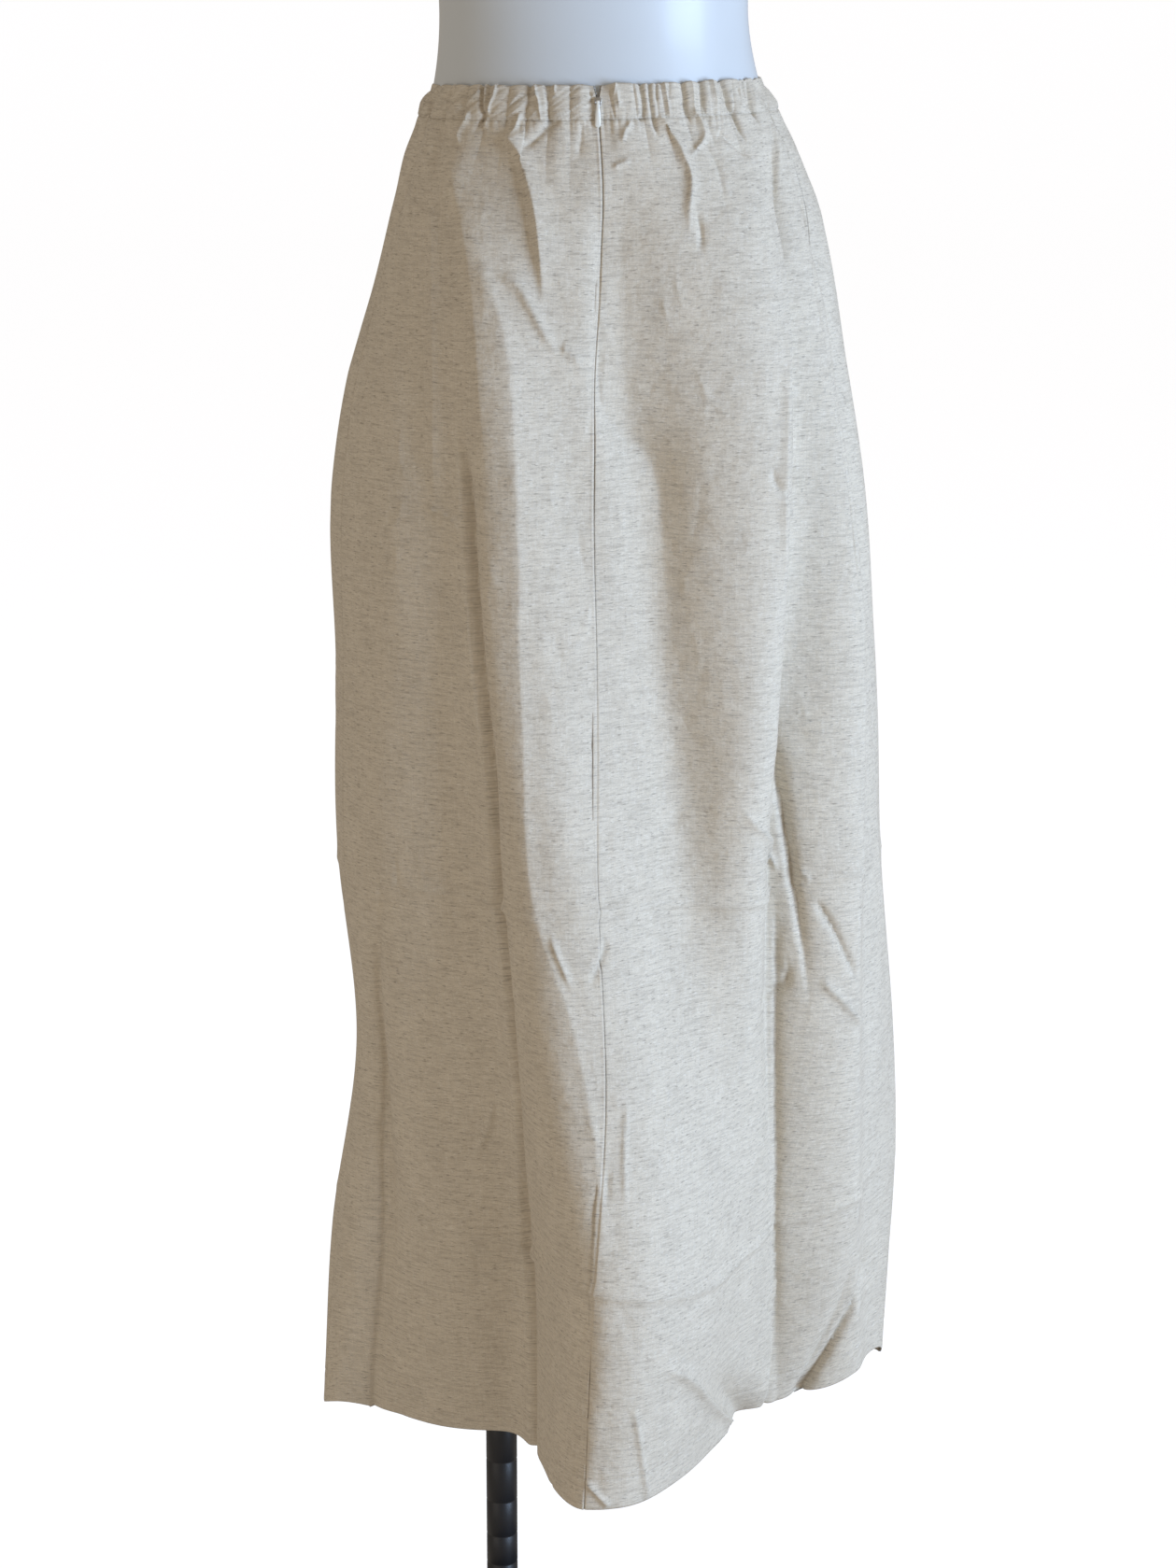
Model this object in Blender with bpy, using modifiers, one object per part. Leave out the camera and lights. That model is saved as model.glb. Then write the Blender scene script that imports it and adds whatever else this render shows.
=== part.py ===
# A long gathered skirt on a limbless dress form.
# Metres, +Z up. The origin lies on the floor under the form, the skirt's back faces -Y and its
# front faces +Y. A ring angle is 0 at the centre back, 90 degrees at the right side as seen from
# behind (+X) and 180 degrees at the centre front. A drop is a distance below the waistband's top.

import math

import bmesh
import bpy
import numpy as np
from mathutils import Matrix

COLLECTION = "skirt_on_dress_form"

# Skirt
WAIST_TOP = 1.300           # height of the waistband's top edge
SKIRT_LENGTH = 1.040        # waistband's top edge to hem
BAND_DEPTH = 0.0285         # height of the elastic casing
CLOTH_WALL = 0.0020
BAND_WALL = 0.0026          # two layers of cloth and the elastic
SEAM_GAP = 0.0003
LEAN = 0.0195               # the skirt sits a little askew: rise for each metre towards +X
HEM_LIFT_COLUMNS = ("angle_deg", "height", "spread_deg")
HEM_LIFTS = ((71.0, 0.031, 25.0), (292.0, 0.013, 20.0))     # the hem rides up at both sides
HEM_LIFT_START = 0.70       # drop from which the cloth is drawn up
BAND_PUFF = 0.0006          # how far the casing swells between its edges

# Sections of the skirt, each an oval of its own half width, back depth and front depth
SECTION_COLUMNS = ("drop", "half_width", "centre_x", "back", "front", "turn_deg")
SECTIONS = (
    (0.000, 0.1228, 0.0065, 0.0865, 0.0905, 0.0),
    (0.030, 0.1325, 0.0080, 0.0925, 0.0975, 0.0),
    (0.052, 0.1440, 0.0095, 0.1010, 0.1060, 0.0),
    (0.080, 0.1545, 0.0110, 0.1110, 0.1160, 0.0),
    (0.148, 0.1740, 0.0110, 0.1270, 0.1290, 0.3),
    (0.218, 0.1900, 0.0080, 0.1350, 0.1370, 0.6),
    (0.289, 0.1998, 0.0075, 0.1390, 0.1430, 1.0),
    (0.434, 0.2070, 0.0130, 0.1420, 0.1550, 1.6),
    (0.582, 0.2104, 0.0170, 0.1400, 0.1700, 2.4),
    (0.734, 0.2113, 0.0285, 0.1370, 0.1840, 3.2),
    (0.890, 0.2227, 0.0205, 0.1220, 0.1960, 4.6),
    (1.040, 0.2265, 0.0130, 0.0820, 0.2040, 6.0),
)

# Folds. Each row is a station on a fold: how far across it lies (x), how far it stands out of the
# section (negative for a valley), and how far it spreads to its left and right, seen from behind.
# A soft fold has power 2, a flat-topped roll 3 or more, and a sharp valley less than 2.
STATION_COLUMNS = ("drop", "x", "height", "left", "right")
FOLD_RISE = 0.05            # drop above a fold's first station over which it starts
FOLD_EDGE = 0.995           # share of the half width past which no fold's middle lies
FOLDS = (
    {"name": "main_roll", "side": "back", "power": 2.4, "stations": (
        (0.060, -0.0950, 0.000, 0.040, 0.060),
        (0.180, -0.0670, 0.015, 0.045, 0.038),
        (0.434, -0.0450, 0.033, 0.045, 0.046),
        (0.620, -0.0180, 0.054, 0.050, 0.064),
        (0.790, 0.0080, 0.096, 0.050, 0.080),
        (0.870, 0.0150, 0.118, 0.046, 0.080),
        (0.960, 0.0060, 0.132, 0.040, 0.086),
        (1.040, -0.0080, 0.142, 0.032, 0.096),
    )},
    {"name": "left_valley", "side": "back", "power": 1.4, "stations": (
        (0.240, -0.0980, 0.000, 0.030, 0.020),
        (0.434, -0.0935, -0.006, 0.022, 0.024),
        (0.600, -0.0760, -0.010, 0.024, 0.022),
        (0.800, -0.0520, -0.012, 0.026, 0.018),
        (1.040, -0.0450, -0.008, 0.026, 0.014),
    )},
    {"name": "centre_valley", "side": "back", "power": 2.0, "stations": (
        (0.040, 0.0240, 0.000, 0.012, 0.018),
        (0.140, 0.0270, -0.006, 0.014, 0.028),
        (0.220, 0.0300, -0.011, 0.018, 0.032),
        (0.330, 0.0460, -0.015, 0.024, 0.030),
        (0.560, 0.0720, -0.009, 0.028, 0.024),
        (0.640, 0.0780, 0.000, 0.030, 0.024),
    )},
    {"name": "right_valley", "side": "back", "power": 1.3, "stations": (
        (0.030, 0.1280, -0.001, 0.008, 0.012),
        (0.152, 0.1490, -0.010, 0.012, 0.018),
        (0.322, 0.1480, -0.020, 0.015, 0.020),
        (0.540, 0.1450, -0.032, 0.017, 0.021),
        (0.740, 0.1450, -0.025, 0.017, 0.021),
        (0.890, 0.1470, -0.016, 0.017, 0.021),
        (1.040, 0.1540, -0.009, 0.016, 0.020),
    )},
    {"name": "right_roll", "side": "back", "power": 2.0, "stations": (
        (0.050, 0.1100, 0.000, 0.036, 0.016),
        (0.150, 0.1240, 0.016, 0.054, 0.022),
        (0.300, 0.1320, 0.029, 0.056, 0.024),
        (0.440, 0.1300, 0.026, 0.054, 0.024),
        (0.560, 0.1290, 0.018, 0.048, 0.022),
        (0.740, 0.1300, 0.006, 0.040, 0.020),
        (0.900, 0.1380, 0.000, 0.040, 0.020),
    )},
    {"name": "right_corner", "side": "back", "power": 2.0, "stations": (
        (0.160, 0.1700, 0.000, 0.026, 0.012),
        (0.300, 0.1860, 0.014, 0.030, 0.013),
        (0.434, 0.1920, 0.018, 0.032, 0.014),
        (0.740, 0.1950, 0.013, 0.034, 0.014),
        (1.040, 0.2080, 0.010, 0.034, 0.014),
    )},
    {"name": "right_side_tuck", "side": "back", "power": 1.4, "stations": (
        (0.060, 0.1480, 0.000, 0.008, 0.012),
        (0.150, 0.1790, -0.011, 0.010, 0.018),
        (0.300, 0.2010, -0.017, 0.012, 0.018),
        (0.430, 0.2140, 0.000, 0.012, 0.018),
    )},
    {"name": "left_side_tuck", "side": "back", "power": 1.4, "stations": (
        (0.020, -0.1150, 0.000, 0.012, 0.008),
        (0.110, -0.1500, -0.009, 0.018, 0.010),
        (0.210, -0.1790, 0.000, 0.018, 0.010),
    )},
    {"name": "left_flat", "side": "back", "power": 2.0, "stations": (
        (0.800, -0.1500, 0.000, 0.050, 0.045),
        (1.040, -0.1500, -0.014, 0.050, 0.045),
    )},
    {"name": "hem_notch", "side": "back", "power": 1.4, "stations": (
        (0.960, 0.0800, 0.000, 0.008, 0.010),
        (1.040, 0.1190, -0.024, 0.014, 0.022),
    )},
    {"name": "left_hem_tuck", "side": "back", "power": 1.2, "stations": (
        (0.600, -0.1650, 0.000, 0.010, 0.012),
        (0.700, -0.1650, -0.009, 0.012, 0.014),
        (0.880, -0.1590, -0.010, 0.014, 0.016),
        (1.040, -0.1740, 0.000, 0.012, 0.014),
    )},
    {"name": "right_hem_tuck", "side": "back", "power": 1.2, "stations": (
        (0.880, 0.2080, 0.000, 0.008, 0.010),
        (0.960, 0.1950, -0.008, 0.010, 0.012),
        (1.040, 0.1710, -0.016, 0.012, 0.014),
    )},
    {"name": "front_roll_left", "side": "front", "power": 2.0, "stations": (
        (0.140, -0.0950, 0.000, 0.040, 0.040),
        (0.450, -0.1050, 0.016, 0.042, 0.042),
        (1.040, -0.1250, 0.034, 0.046, 0.044),
    )},
    {"name": "front_valley_left", "side": "front", "power": 1.6, "stations": (
        (0.120, -0.0420, 0.000, 0.026, 0.026),
        (0.450, -0.0480, -0.013, 0.030, 0.030),
        (1.040, -0.0560, -0.022, 0.032, 0.032),
    )},
    {"name": "front_roll_centre", "side": "front", "power": 2.0, "stations": (
        (0.200, 0.0080, 0.000, 0.040, 0.040),
        (0.600, 0.0120, 0.018, 0.044, 0.046),
        (1.040, 0.0180, 0.036, 0.048, 0.050),
    )},
    {"name": "front_valley_right", "side": "front", "power": 1.6, "stations": (
        (0.080, 0.0720, 0.000, 0.024, 0.024),
        (0.400, 0.0860, -0.015, 0.028, 0.028),
        (1.040, 0.0980, -0.026, 0.034, 0.034),
    )},
    {"name": "front_roll_right", "side": "front", "power": 2.0, "stations": (
        (0.160, 0.1260, 0.000, 0.036, 0.036),
        (0.560, 0.1480, 0.018, 0.040, 0.040),
        (1.040, 0.1700, 0.026, 0.042, 0.042),
    )},
)

# Gathers. The back's are set out by hand, in degrees from the centre back to the side seam, and
# the front's by a rule. Each is a small ridge between two sharp valleys.
SIDE_SEAM = 72.0
RIGHT_GATHERS = (0.0, 14.3, 21.5, 28.5, 36.0, 45.7, 58.0, SIDE_SEAM)
LEFT_GATHERS = (0.0, 9.0, 15.8, 23.3, 30.5, 38.5, 48.7, 58.5, SIDE_SEAM)
FRONT_GATHERS = 18
FRONT_UNEVENNESS = 1.6      # degrees that a front gather may stray
COLUMNS_PER_GATHER = 4
GATHER_SLOPE = 0.17         # a ridge's height for its width
GATHER_LIMIT = 0.0024       # the highest ridge
ZIP_FLAT = (1.6, 6.0)       # degrees from the zip over which the ridges rise from nothing
GATHER_FADE = 0.045         # drop below the casing over which a gather dies out
FADE_UNEVENNESS = 0.5       # share by which that differs from one gather to the next
COLUMN_SPREAD = (0.06, 0.20)    # drops between which the columns leave the gathers
SEAM_COLUMNS = ("drop", "angle_deg")
SIDE_SEAM_ROWS = ((0.0, SIDE_SEAM), (0.40, 73.5), (0.70, 80.0), (1.04, 84.0))
BACK_SEAM_ROWS = ((0.0, 0.0), (0.05, 0.0), (0.20, -1.0), (0.40, -2.6), (0.59, -4.2), (0.78, -6.6), (1.04, -8.2))

# Rows of the panels and of the casing, as drops
BAND_ROWS = (0.0, 0.0095, 0.0190, BAND_DEPTH)
TOP_ROWS = (0.0, 0.010, 0.026, 0.050)       # below the casing, where the gathers run out
LOWER_ROWS = 20             # the same on every panel, so that their seams meet row for row
ROW_GROWTH = 1.25           # above 1 the rows spread out towards the hem

# Centre-back opening: half the gap between the two edges, a small V above the slider
OPENING_COLUMNS = ("drop", "half_gap")
OPENING_ROWS = ((0.0, 0.0030), (0.0095, 0.0009), (0.0190, 0.0009), (0.0260, SEAM_GAP / 2))

# Zip. The slider is modelled upright about the hinge of its pull tab, with +Y into the cloth.
TAPE_TOP = 0.0060
TAPE_BOTTOM = 0.3400        # it ends at the last row of the panels above this
TAPE_GAP = 0.0004
TAPE_HALF_WIDTH = 0.0110
TAPE_WALL = 0.0008
SLIDER_DROP = 0.0125        # of the pull tab's hinge
HINGE_STANDOFF = 0.0027     # hinge axis to the casing's outside
OVERLAP = 0.0002            # how far joined shapes of one piece run into each other
PLATE = (0.0044, 0.0008, 0.0060)        # width, depth and height
NECK_WIDTH = 0.0010
NECK_HEIGHT = 0.0040
EAR_WALL = 0.0007
EAR_HEIGHT = 0.0028
EAR_REACH = 0.0011          # how far the ears stand past the hinge axis
PIN_RADIUS = 0.0005
KNUCKLE_RADIUS = 0.0012
KNUCKLE_BORE = 0.0007
KNUCKLE_HALF_WIDTH = 0.0012
TAB_LENGTH = 0.0180
TAB_TOP_HALF_WIDTH = 0.0010
TAB_HALF_WIDTH = 0.0021
TAB_WALL = 0.0010
TAB_ARC_STEPS = 10
TAB_TILT = 4.0              # degrees that the hanging tab leans in towards the cloth
PIN_SIDES = 16

# Dress form. Heights are above the waistband's top.
FORM_COLUMNS = ("height", "half_width", "centre_x", "back", "front")
FORM_SECTIONS = (
    (-0.350, 0.1180, 0.0000, 0.0780, 0.0780),
    (-0.343, 0.1330, 0.0010, 0.0900, 0.0900),
    (-0.320, 0.1470, 0.0020, 0.1000, 0.1000),
    (-0.260, 0.1610, 0.0030, 0.1070, 0.1060),
    (-0.190, 0.1620, 0.0050, 0.1080, 0.1080),
    (-0.120, 0.1500, 0.0080, 0.1030, 0.1080),
    (-0.070, 0.1385, 0.0090, 0.0950, 0.1010),
    (-0.032, 0.1286, 0.0078, 0.0876, 0.0930),
    (0.000, 0.1195, 0.0062, 0.0825, 0.0872),
    (0.045, 0.1135, 0.0042, 0.0770, 0.0790),
    (0.100, 0.1180, 0.0040, 0.0800, 0.0840),
    (0.160, 0.1290, 0.0040, 0.0870, 0.0980),
    (0.220, 0.1400, 0.0040, 0.0900, 0.1170),
    (0.280, 0.1500, 0.0040, 0.0900, 0.1030),
    (0.330, 0.1630, 0.0040, 0.0840, 0.0820),
    (0.365, 0.1690, 0.0040, 0.0740, 0.0680),
    (0.388, 0.1580, 0.0040, 0.0660, 0.0600),
    (0.408, 0.1270, 0.0040, 0.0590, 0.0560),
    (0.428, 0.0860, 0.0040, 0.0530, 0.0540),
    (0.452, 0.0610, 0.0040, 0.0500, 0.0540),
    (0.500, 0.0540, 0.0040, 0.0510, 0.0530),
    (0.512, 0.0500, 0.0040, 0.0470, 0.0490),
)
FORM_SIDES = 28
FORM_RING_STEP = 0.065      # stations further apart than this get a ring half way between them

# Stand
BASE_RADIUS = 0.180
BASE_THICKNESS = 0.008
BASE_BEVEL = 0.0025
POLE_X = -0.070             # the pole stands left of the form's axis
POLE_RADIUS = 0.0125
COLLAR_RADIUS = 0.026
COLLAR_NECK_RADIUS = 0.0170
COLLAR_FOOT = 0.010         # height of the collar's wide foot
COLLAR_HEIGHT = 0.034
SOCKET_RADIUS = 0.030
SOCKET_NECK_RADIUS = 0.0180
SOCKET_PLATE = 0.006        # thickness of the socket's plate under the form
SOCKET_HEIGHT = 0.040
POLE_GRIP = 0.028           # how far the pole enters the collar and the socket
BASE_SIDES = 48
ROUND_SIDES = 24
POLE_SIDES = 24


# ---------------------------------------------------------------- tables and curves

def column(rows, names, name):
    """One named column of a table, as an array."""
    return np.array([row[names.index(name)] for row in rows], dtype=float)


def smooth(places, values, at):
    """Cubic curve through a table's rows, with slopes from each row's neighbours; flat outside."""
    at = np.clip(at, places[0], places[-1])
    slopes = np.gradient(values, places)
    i = np.clip(np.searchsorted(places, at, side="right") - 1, 0, len(places) - 2)
    step = places[i + 1] - places[i]
    u = (at - places[i]) / step
    rise = u * u * (3.0 - 2.0 * u)
    bend = u * (1.0 - u)
    return (values[i] * (1.0 - rise) + values[i + 1] * rise
            + step * bend * ((1.0 - u) * slopes[i] - u * slopes[i + 1]))


def ease(low, high, at):
    """0 below low, 1 above high, and an S curve between."""
    u = np.clip((at - low) / (high - low), 0.0, 1.0)
    return u * u * (3.0 - 2.0 * u)


def section(name, drop):
    """A named measure of the skirt's section at each drop."""
    return smooth(column(SECTIONS, SECTION_COLUMNS, "drop"), column(SECTIONS, SECTION_COLUMNS, name), drop)


# ---------------------------------------------------------------- gathers

def gather_stops():
    """Angles of the valleys between gathers, from the centre back right round to it again."""
    left = [360.0 - angle for angle in reversed(LEFT_GATHERS)]
    front_start = RIGHT_GATHERS[-1]
    step = (left[0] - front_start) / FRONT_GATHERS
    front = [front_start + step * i + FRONT_UNEVENNESS * math.sin(2.3 * i) for i in range(1, FRONT_GATHERS)]
    return np.array(list(RIGHT_GATHERS) + front + left)


STOPS = gather_stops()
STOP_NUMBERS = np.arange(len(STOPS), dtype=float)
RIGHT_COUNT = len(RIGHT_GATHERS) - 1
LEFT_COUNT = len(LEFT_GATHERS) - 1


def gather_ridge(angle, drop):
    """How far a gather's ridge stands out: nothing in its valleys, most half way between them."""
    turned = np.mod(angle, 360.0)
    count = np.interp(turned, STOPS, STOP_NUMBERS)
    number = np.minimum(np.floor(count), len(STOPS) - 2).astype(int)
    width = np.radians(STOPS[number + 1] - STOPS[number]) * section("back", drop)
    height = np.minimum(GATHER_SLOPE * width, GATHER_LIMIT)
    fade = GATHER_FADE * (1.0 + FADE_UNEVENNESS * np.sin(3.1 * number))
    fading = 1.0 - ease(0.0, 1.0, (drop - BAND_DEPTH) / fade)
    from_zip = np.minimum(turned, 360.0 - turned)
    return height * np.abs(np.sin(math.pi * count)) * fading * ease(*ZIP_FLAT, from_zip)


# ---------------------------------------------------------------- the skirt's surface

def fold_height(fold, angle, drop):
    """How far one fold moves the cloth out of its section."""
    stations = fold["stations"]
    places = column(stations, STATION_COLUMNS, "drop")
    x, height, left, right = (
        smooth(places, column(stations, STATION_COLUMNS, name), drop) for name in STATION_COLUMNS[1:])
    reach = ease(places[0] - FOLD_RISE, places[0], drop)
    half_width = section("half_width", drop)
    depth = section(fold["side"], drop)
    turn = np.radians(section("turn_deg", drop))
    swing = np.arctan2(depth * np.sin(turn), half_width * np.cos(turn))
    across = (x - section("centre_x", drop)) / np.hypot(half_width * np.cos(turn), depth * np.sin(turn))
    reached = np.arcsin(np.clip(across, -FOLD_EDGE, FOLD_EDGE))
    middle = reached - swing
    sign = 1.0
    if fold["side"] == "front":
        middle = math.pi - reached - swing
        sign = -1.0
    away = np.mod(np.radians(angle) - middle + math.pi, 2.0 * math.pi) - math.pi
    distance = sign * away * np.hypot(half_width * np.cos(middle), depth * np.sin(middle))
    spread = np.where(distance < 0.0, left, right)
    return height * reach * np.exp(-np.abs(distance / spread) ** fold["power"])


def hem_lift(angle, drop):
    """How far the cloth is drawn up, most at the hem."""
    lift = 0.0
    for middle, height, spread in HEM_LIFTS:
        away = np.mod(angle - middle + 180.0, 360.0) - 180.0
        lift = lift + height * np.exp(-(away / spread) ** 2)
    return lift * ease(HEM_LIFT_START, SKIRT_LENGTH, drop)


def skirt_point(angle, drop, gathered=True):
    """The skirt's outer surface: an oval section, moved out along its normal by folds and gathers."""
    angle, drop = np.broadcast_arrays(np.asarray(angle, dtype=float), np.asarray(drop, dtype=float))
    turned = np.radians(angle)
    half_width = section("half_width", drop)
    depth = np.where(np.cos(turned) > 0.0, section("back", drop), section("front", drop))
    x = half_width * np.sin(turned)
    y = -depth * np.cos(turned)
    out_x = np.sin(turned) / half_width
    out_y = -np.cos(turned) / depth
    length = np.hypot(out_x, out_y)
    out = gather_ridge(angle, drop) * float(gathered)
    for fold in FOLDS:
        out = out + fold_height(fold, angle, drop)
    x = x + out * out_x / length
    y = y + out * out_y / length
    turn = np.radians(section("turn_deg", drop))
    world_x = section("centre_x", drop) + x * np.cos(turn) - y * np.sin(turn)
    world_y = x * np.sin(turn) + y * np.cos(turn)
    world_z = WAIST_TOP - drop + LEAN * world_x + hem_lift(angle, drop)
    return np.stack([world_x, world_y, world_z], axis=-1)


def skirt_normal(angle, drop):
    """Outward normals of that surface, from small steps round and down."""
    turn_step = 0.25
    drop_step = 0.0015
    round_way = skirt_point(angle + turn_step, drop) - skirt_point(angle - turn_step, drop)
    down_way = skirt_point(angle, drop + drop_step) - skirt_point(angle, drop - drop_step)
    normal = np.cross(down_way, round_way)
    return normal / np.linalg.norm(normal, axis=-1, keepdims=True)


# ---------------------------------------------------------------- meshes

def add_object(name, mesh, collection, material):
    """Put a mesh in the scene as one named part with its own material."""
    part = bpy.data.objects.new(name, mesh)
    part.data.materials.append(material)
    collection.objects.link(part)
    return part


def sheet_faces(row_sizes):
    """Faces of a sheet of rows; a row may have half the columns of the one above it."""
    faces = []
    start = 0
    for upper, lower in zip(row_sizes[:-1], row_sizes[1:]):
        below = start + upper
        if upper == lower:
            for i in range(upper - 1):
                faces.append((start + i, below + i, below + i + 1, start + i + 1))
        else:
            for i in range(lower - 1):
                first = start + 2 * i
                faces.append((first, below + i, first + 1))
                faces.append((first + 1, below + i, below + i + 1))
                faces.append((first + 1, below + i + 1, first + 2))
        start = below
    return faces


def add_wall(name, outer_rows, inner_rows, collection, material):
    """A cloth wall: an outer and an inner sheet of the same rows, closed along their edges.

    The inner sheet comes from the whole skirt's normals, so two panels that meet at a fold keep
    their walls parallel there. Each rim face is split from its lower outer corner, so that the two
    rims at a seam match.
    """
    row_sizes = [len(row) for row in outer_rows]
    sheet = sheet_faces(row_sizes)
    outer = np.concatenate(outer_rows)
    inner = np.concatenate(inner_rows)
    count = len(outer)
    faces = list(sheet)
    faces += [tuple(count + i for i in reversed(face)) for face in sheet]
    used = set()
    for face in sheet:
        used.update(zip(face, face[1:] + face[:1]))
    for a, b in sorted(used):
        if (b, a) not in used:
            rim = (b, a, a + count, b + count)
            faces.append(rim if b > a else rim[1:] + rim[:1])
    mesh = bpy.data.meshes.new(name)
    mesh.from_pydata(np.concatenate([outer, inner]).tolist(), [], faces)
    mesh.shade_smooth()
    return add_object(name, mesh, collection, material)


def add_loft(name, rings, collection, material):
    """A closed solid through rings of equal size, from the lowest up."""
    sides = len(rings[0])
    faces = [tuple(reversed(range(sides)))]
    for r in range(len(rings) - 1):
        for i in range(sides):
            j = (i + 1) % sides
            faces.append((r * sides + i, r * sides + j, (r + 1) * sides + j, (r + 1) * sides + i))
    faces.append(tuple((len(rings) - 1) * sides + i for i in range(sides)))
    mesh = bpy.data.meshes.new(name)
    mesh.from_pydata(np.concatenate(rings).tolist(), [], faces)
    mesh.shade_smooth()
    return add_object(name, mesh, collection, material)


def add_turned(name, profile, centre_x, sides, collection, material, bore_end=None):
    """A turned solid, its profile of radius and height given from top to bottom on its outside.

    A bore, where the profile starts or ends at its wall, runs in to bore_end and is flat there.
    """
    points = list(profile)
    if bore_end is not None and profile[0][0] < profile[-1][0]:
        points = [(0.0, bore_end), (profile[0][0], bore_end)] + points + [(0.0, profile[-1][1])]
    elif bore_end is not None:
        points = [(0.0, profile[0][1])] + points + [(profile[-1][0], bore_end), (0.0, bore_end)]
    else:
        points = [(0.0, profile[0][1])] + points + [(0.0, profile[-1][1])]
    mesh = bpy.data.meshes.new(name)
    mesh.from_pydata([(r, 0.0, z) for r, z in points], [(i, i + 1) for i in range(len(points) - 1)], [])
    part = add_object(name, mesh, collection, material)
    part.location = (centre_x, 0.0, 0.0)
    screw = part.modifiers.new("turn", "SCREW")
    screw.steps = sides
    screw.render_steps = sides
    screw.use_merge_vertices = True
    screw.merge_threshold = 0.00005
    return part


# ---------------------------------------------------------------- materials

def make_material(name, colour, roughness, metallic=0.0):
    """A Principled material of the part's own colour."""
    material = bpy.data.materials.new(name)
    material.use_nodes = True
    shader = material.node_tree.nodes["Principled BSDF"]
    shader.inputs["Base Color"].default_value = (*colour, 1.0)
    shader.inputs["Roughness"].default_value = roughness
    shader.inputs["Metallic"].default_value = metallic
    return material


# ---------------------------------------------------------------- skirt panels and casing

def seam_angle(rows, drop):
    """Angle of a seam at each drop. The side seams' angle is taken both ways from 0."""
    return smooth(column(rows, SEAM_COLUMNS, "drop"), column(rows, SEAM_COLUMNS, "angle_deg"), drop)


def opening_half_gap(drop):
    """Half the gap between the edges at the centre back."""
    return np.interp(drop, column(OPENING_ROWS, OPENING_COLUMNS, "drop"),
                     column(OPENING_ROWS, OPENING_COLUMNS, "half_gap"))


def degrees_for(distance, angle, drop):
    """The angle that a short distance round the skirt takes up, on one side of a place or the other."""
    step = math.copysign(0.02, distance)
    chord = np.linalg.norm(skirt_point(angle + step, drop) - skirt_point(angle, drop))
    return step * abs(distance) / chord


def column_angles(first_stop, last_stop, start, end, drop, per_gather):
    """Angles of a row's columns: on the gathers near the casing, evenly spread lower down."""
    count = (last_stop - first_stop) * per_gather + 1
    on_gathers = np.interp(np.linspace(first_stop, last_stop, count), STOP_NUMBERS, STOPS)
    low, high = on_gathers[0], on_gathers[-1]
    on_gathers = start + (on_gathers - low) * (end - start) / (high - low)
    evenly = np.linspace(start, end, count)
    share = ease(*COLUMN_SPREAD, drop)
    return on_gathers * (1.0 - share) + evenly * share


def panel_edges(piece, drop):
    """First and last angle of a piece at a drop, clear of its neighbours at the seams."""
    side = float(seam_angle(SIDE_SEAM_ROWS, drop))
    back = float(seam_angle(BACK_SEAM_ROWS, drop))
    half_gap = float(opening_half_gap(drop))

    def beside(angle, distance):
        return angle + degrees_for(distance, angle, drop)

    return {
        "skirt_back_right": (beside(back, half_gap), beside(side, -SEAM_GAP / 2)),
        "skirt_front": (beside(side, SEAM_GAP / 2), beside(360.0 - side, -SEAM_GAP / 2)),
        "skirt_back_left": (beside(360.0 - side, SEAM_GAP / 2), beside(360.0 + back, -half_gap)),
        "waistband": (beside(back, half_gap), beside(360.0 + back, -half_gap)),
    }[piece]


def band_swell(drop):
    """How far the casing swells out between its two edges."""
    return BAND_PUFF * math.sin(math.pi * drop / BAND_DEPTH)


def row_points(piece, stops, drop, per_gather, wall):
    """Outer and inner points of one row of a piece."""
    start, end = panel_edges(piece, drop)
    angles = column_angles(stops[0], stops[1], start, end, drop, per_gather)
    swell = band_swell(drop) if piece == "waistband" else 0.0
    normal = skirt_normal(angles, drop)
    outer = skirt_point(angles, drop) + swell * normal
    return outer, outer - (wall + swell) * normal


def add_piece(piece, stops, drops, columns, wall, collection, material):
    """A panel or the casing, from its rows and the number of columns per gather on each."""
    rows = [row_points(piece, stops, drop, count, wall) for drop, count in zip(drops, columns)]
    return add_wall(piece, [row[0] for row in rows], [row[1] for row in rows], collection, material)


def panel_rows():
    """Drops of the panels' rows: close together under the casing, then steadily further apart."""
    top = [BAND_DEPTH + SEAM_GAP + drop for drop in TOP_ROWS]
    steps = (np.arange(1, LOWER_ROWS + 1) / LOWER_ROWS) ** ROW_GROWTH
    return top + list(top[-1] + (SKIRT_LENGTH - top[-1]) * steps)


def make_skirt(collection, cloth):
    """The casing, gathered all round, and the three panels below it."""
    front_stop = RIGHT_COUNT + FRONT_GATHERS
    last_stop = front_stop + LEFT_COUNT
    add_piece("waistband", (0, last_stop), BAND_ROWS, [COLUMNS_PER_GATHER] * len(BAND_ROWS),
              BAND_WALL, collection, cloth)
    drops = panel_rows()
    back_columns = [COLUMNS_PER_GATHER] * len(drops)
    add_piece("skirt_back_right", (0, RIGHT_COUNT), drops, back_columns, CLOTH_WALL, collection, cloth)
    add_piece("skirt_back_left", (front_stop, last_stop), drops, back_columns, CLOTH_WALL, collection, cloth)
    front_columns = [COLUMNS_PER_GATHER] * len(TOP_ROWS) + [COLUMNS_PER_GATHER // 2] * LOWER_ROWS
    add_piece("skirt_front", (RIGHT_COUNT, front_stop), drops, front_columns, CLOTH_WALL, collection, cloth)


# ---------------------------------------------------------------- zip

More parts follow.
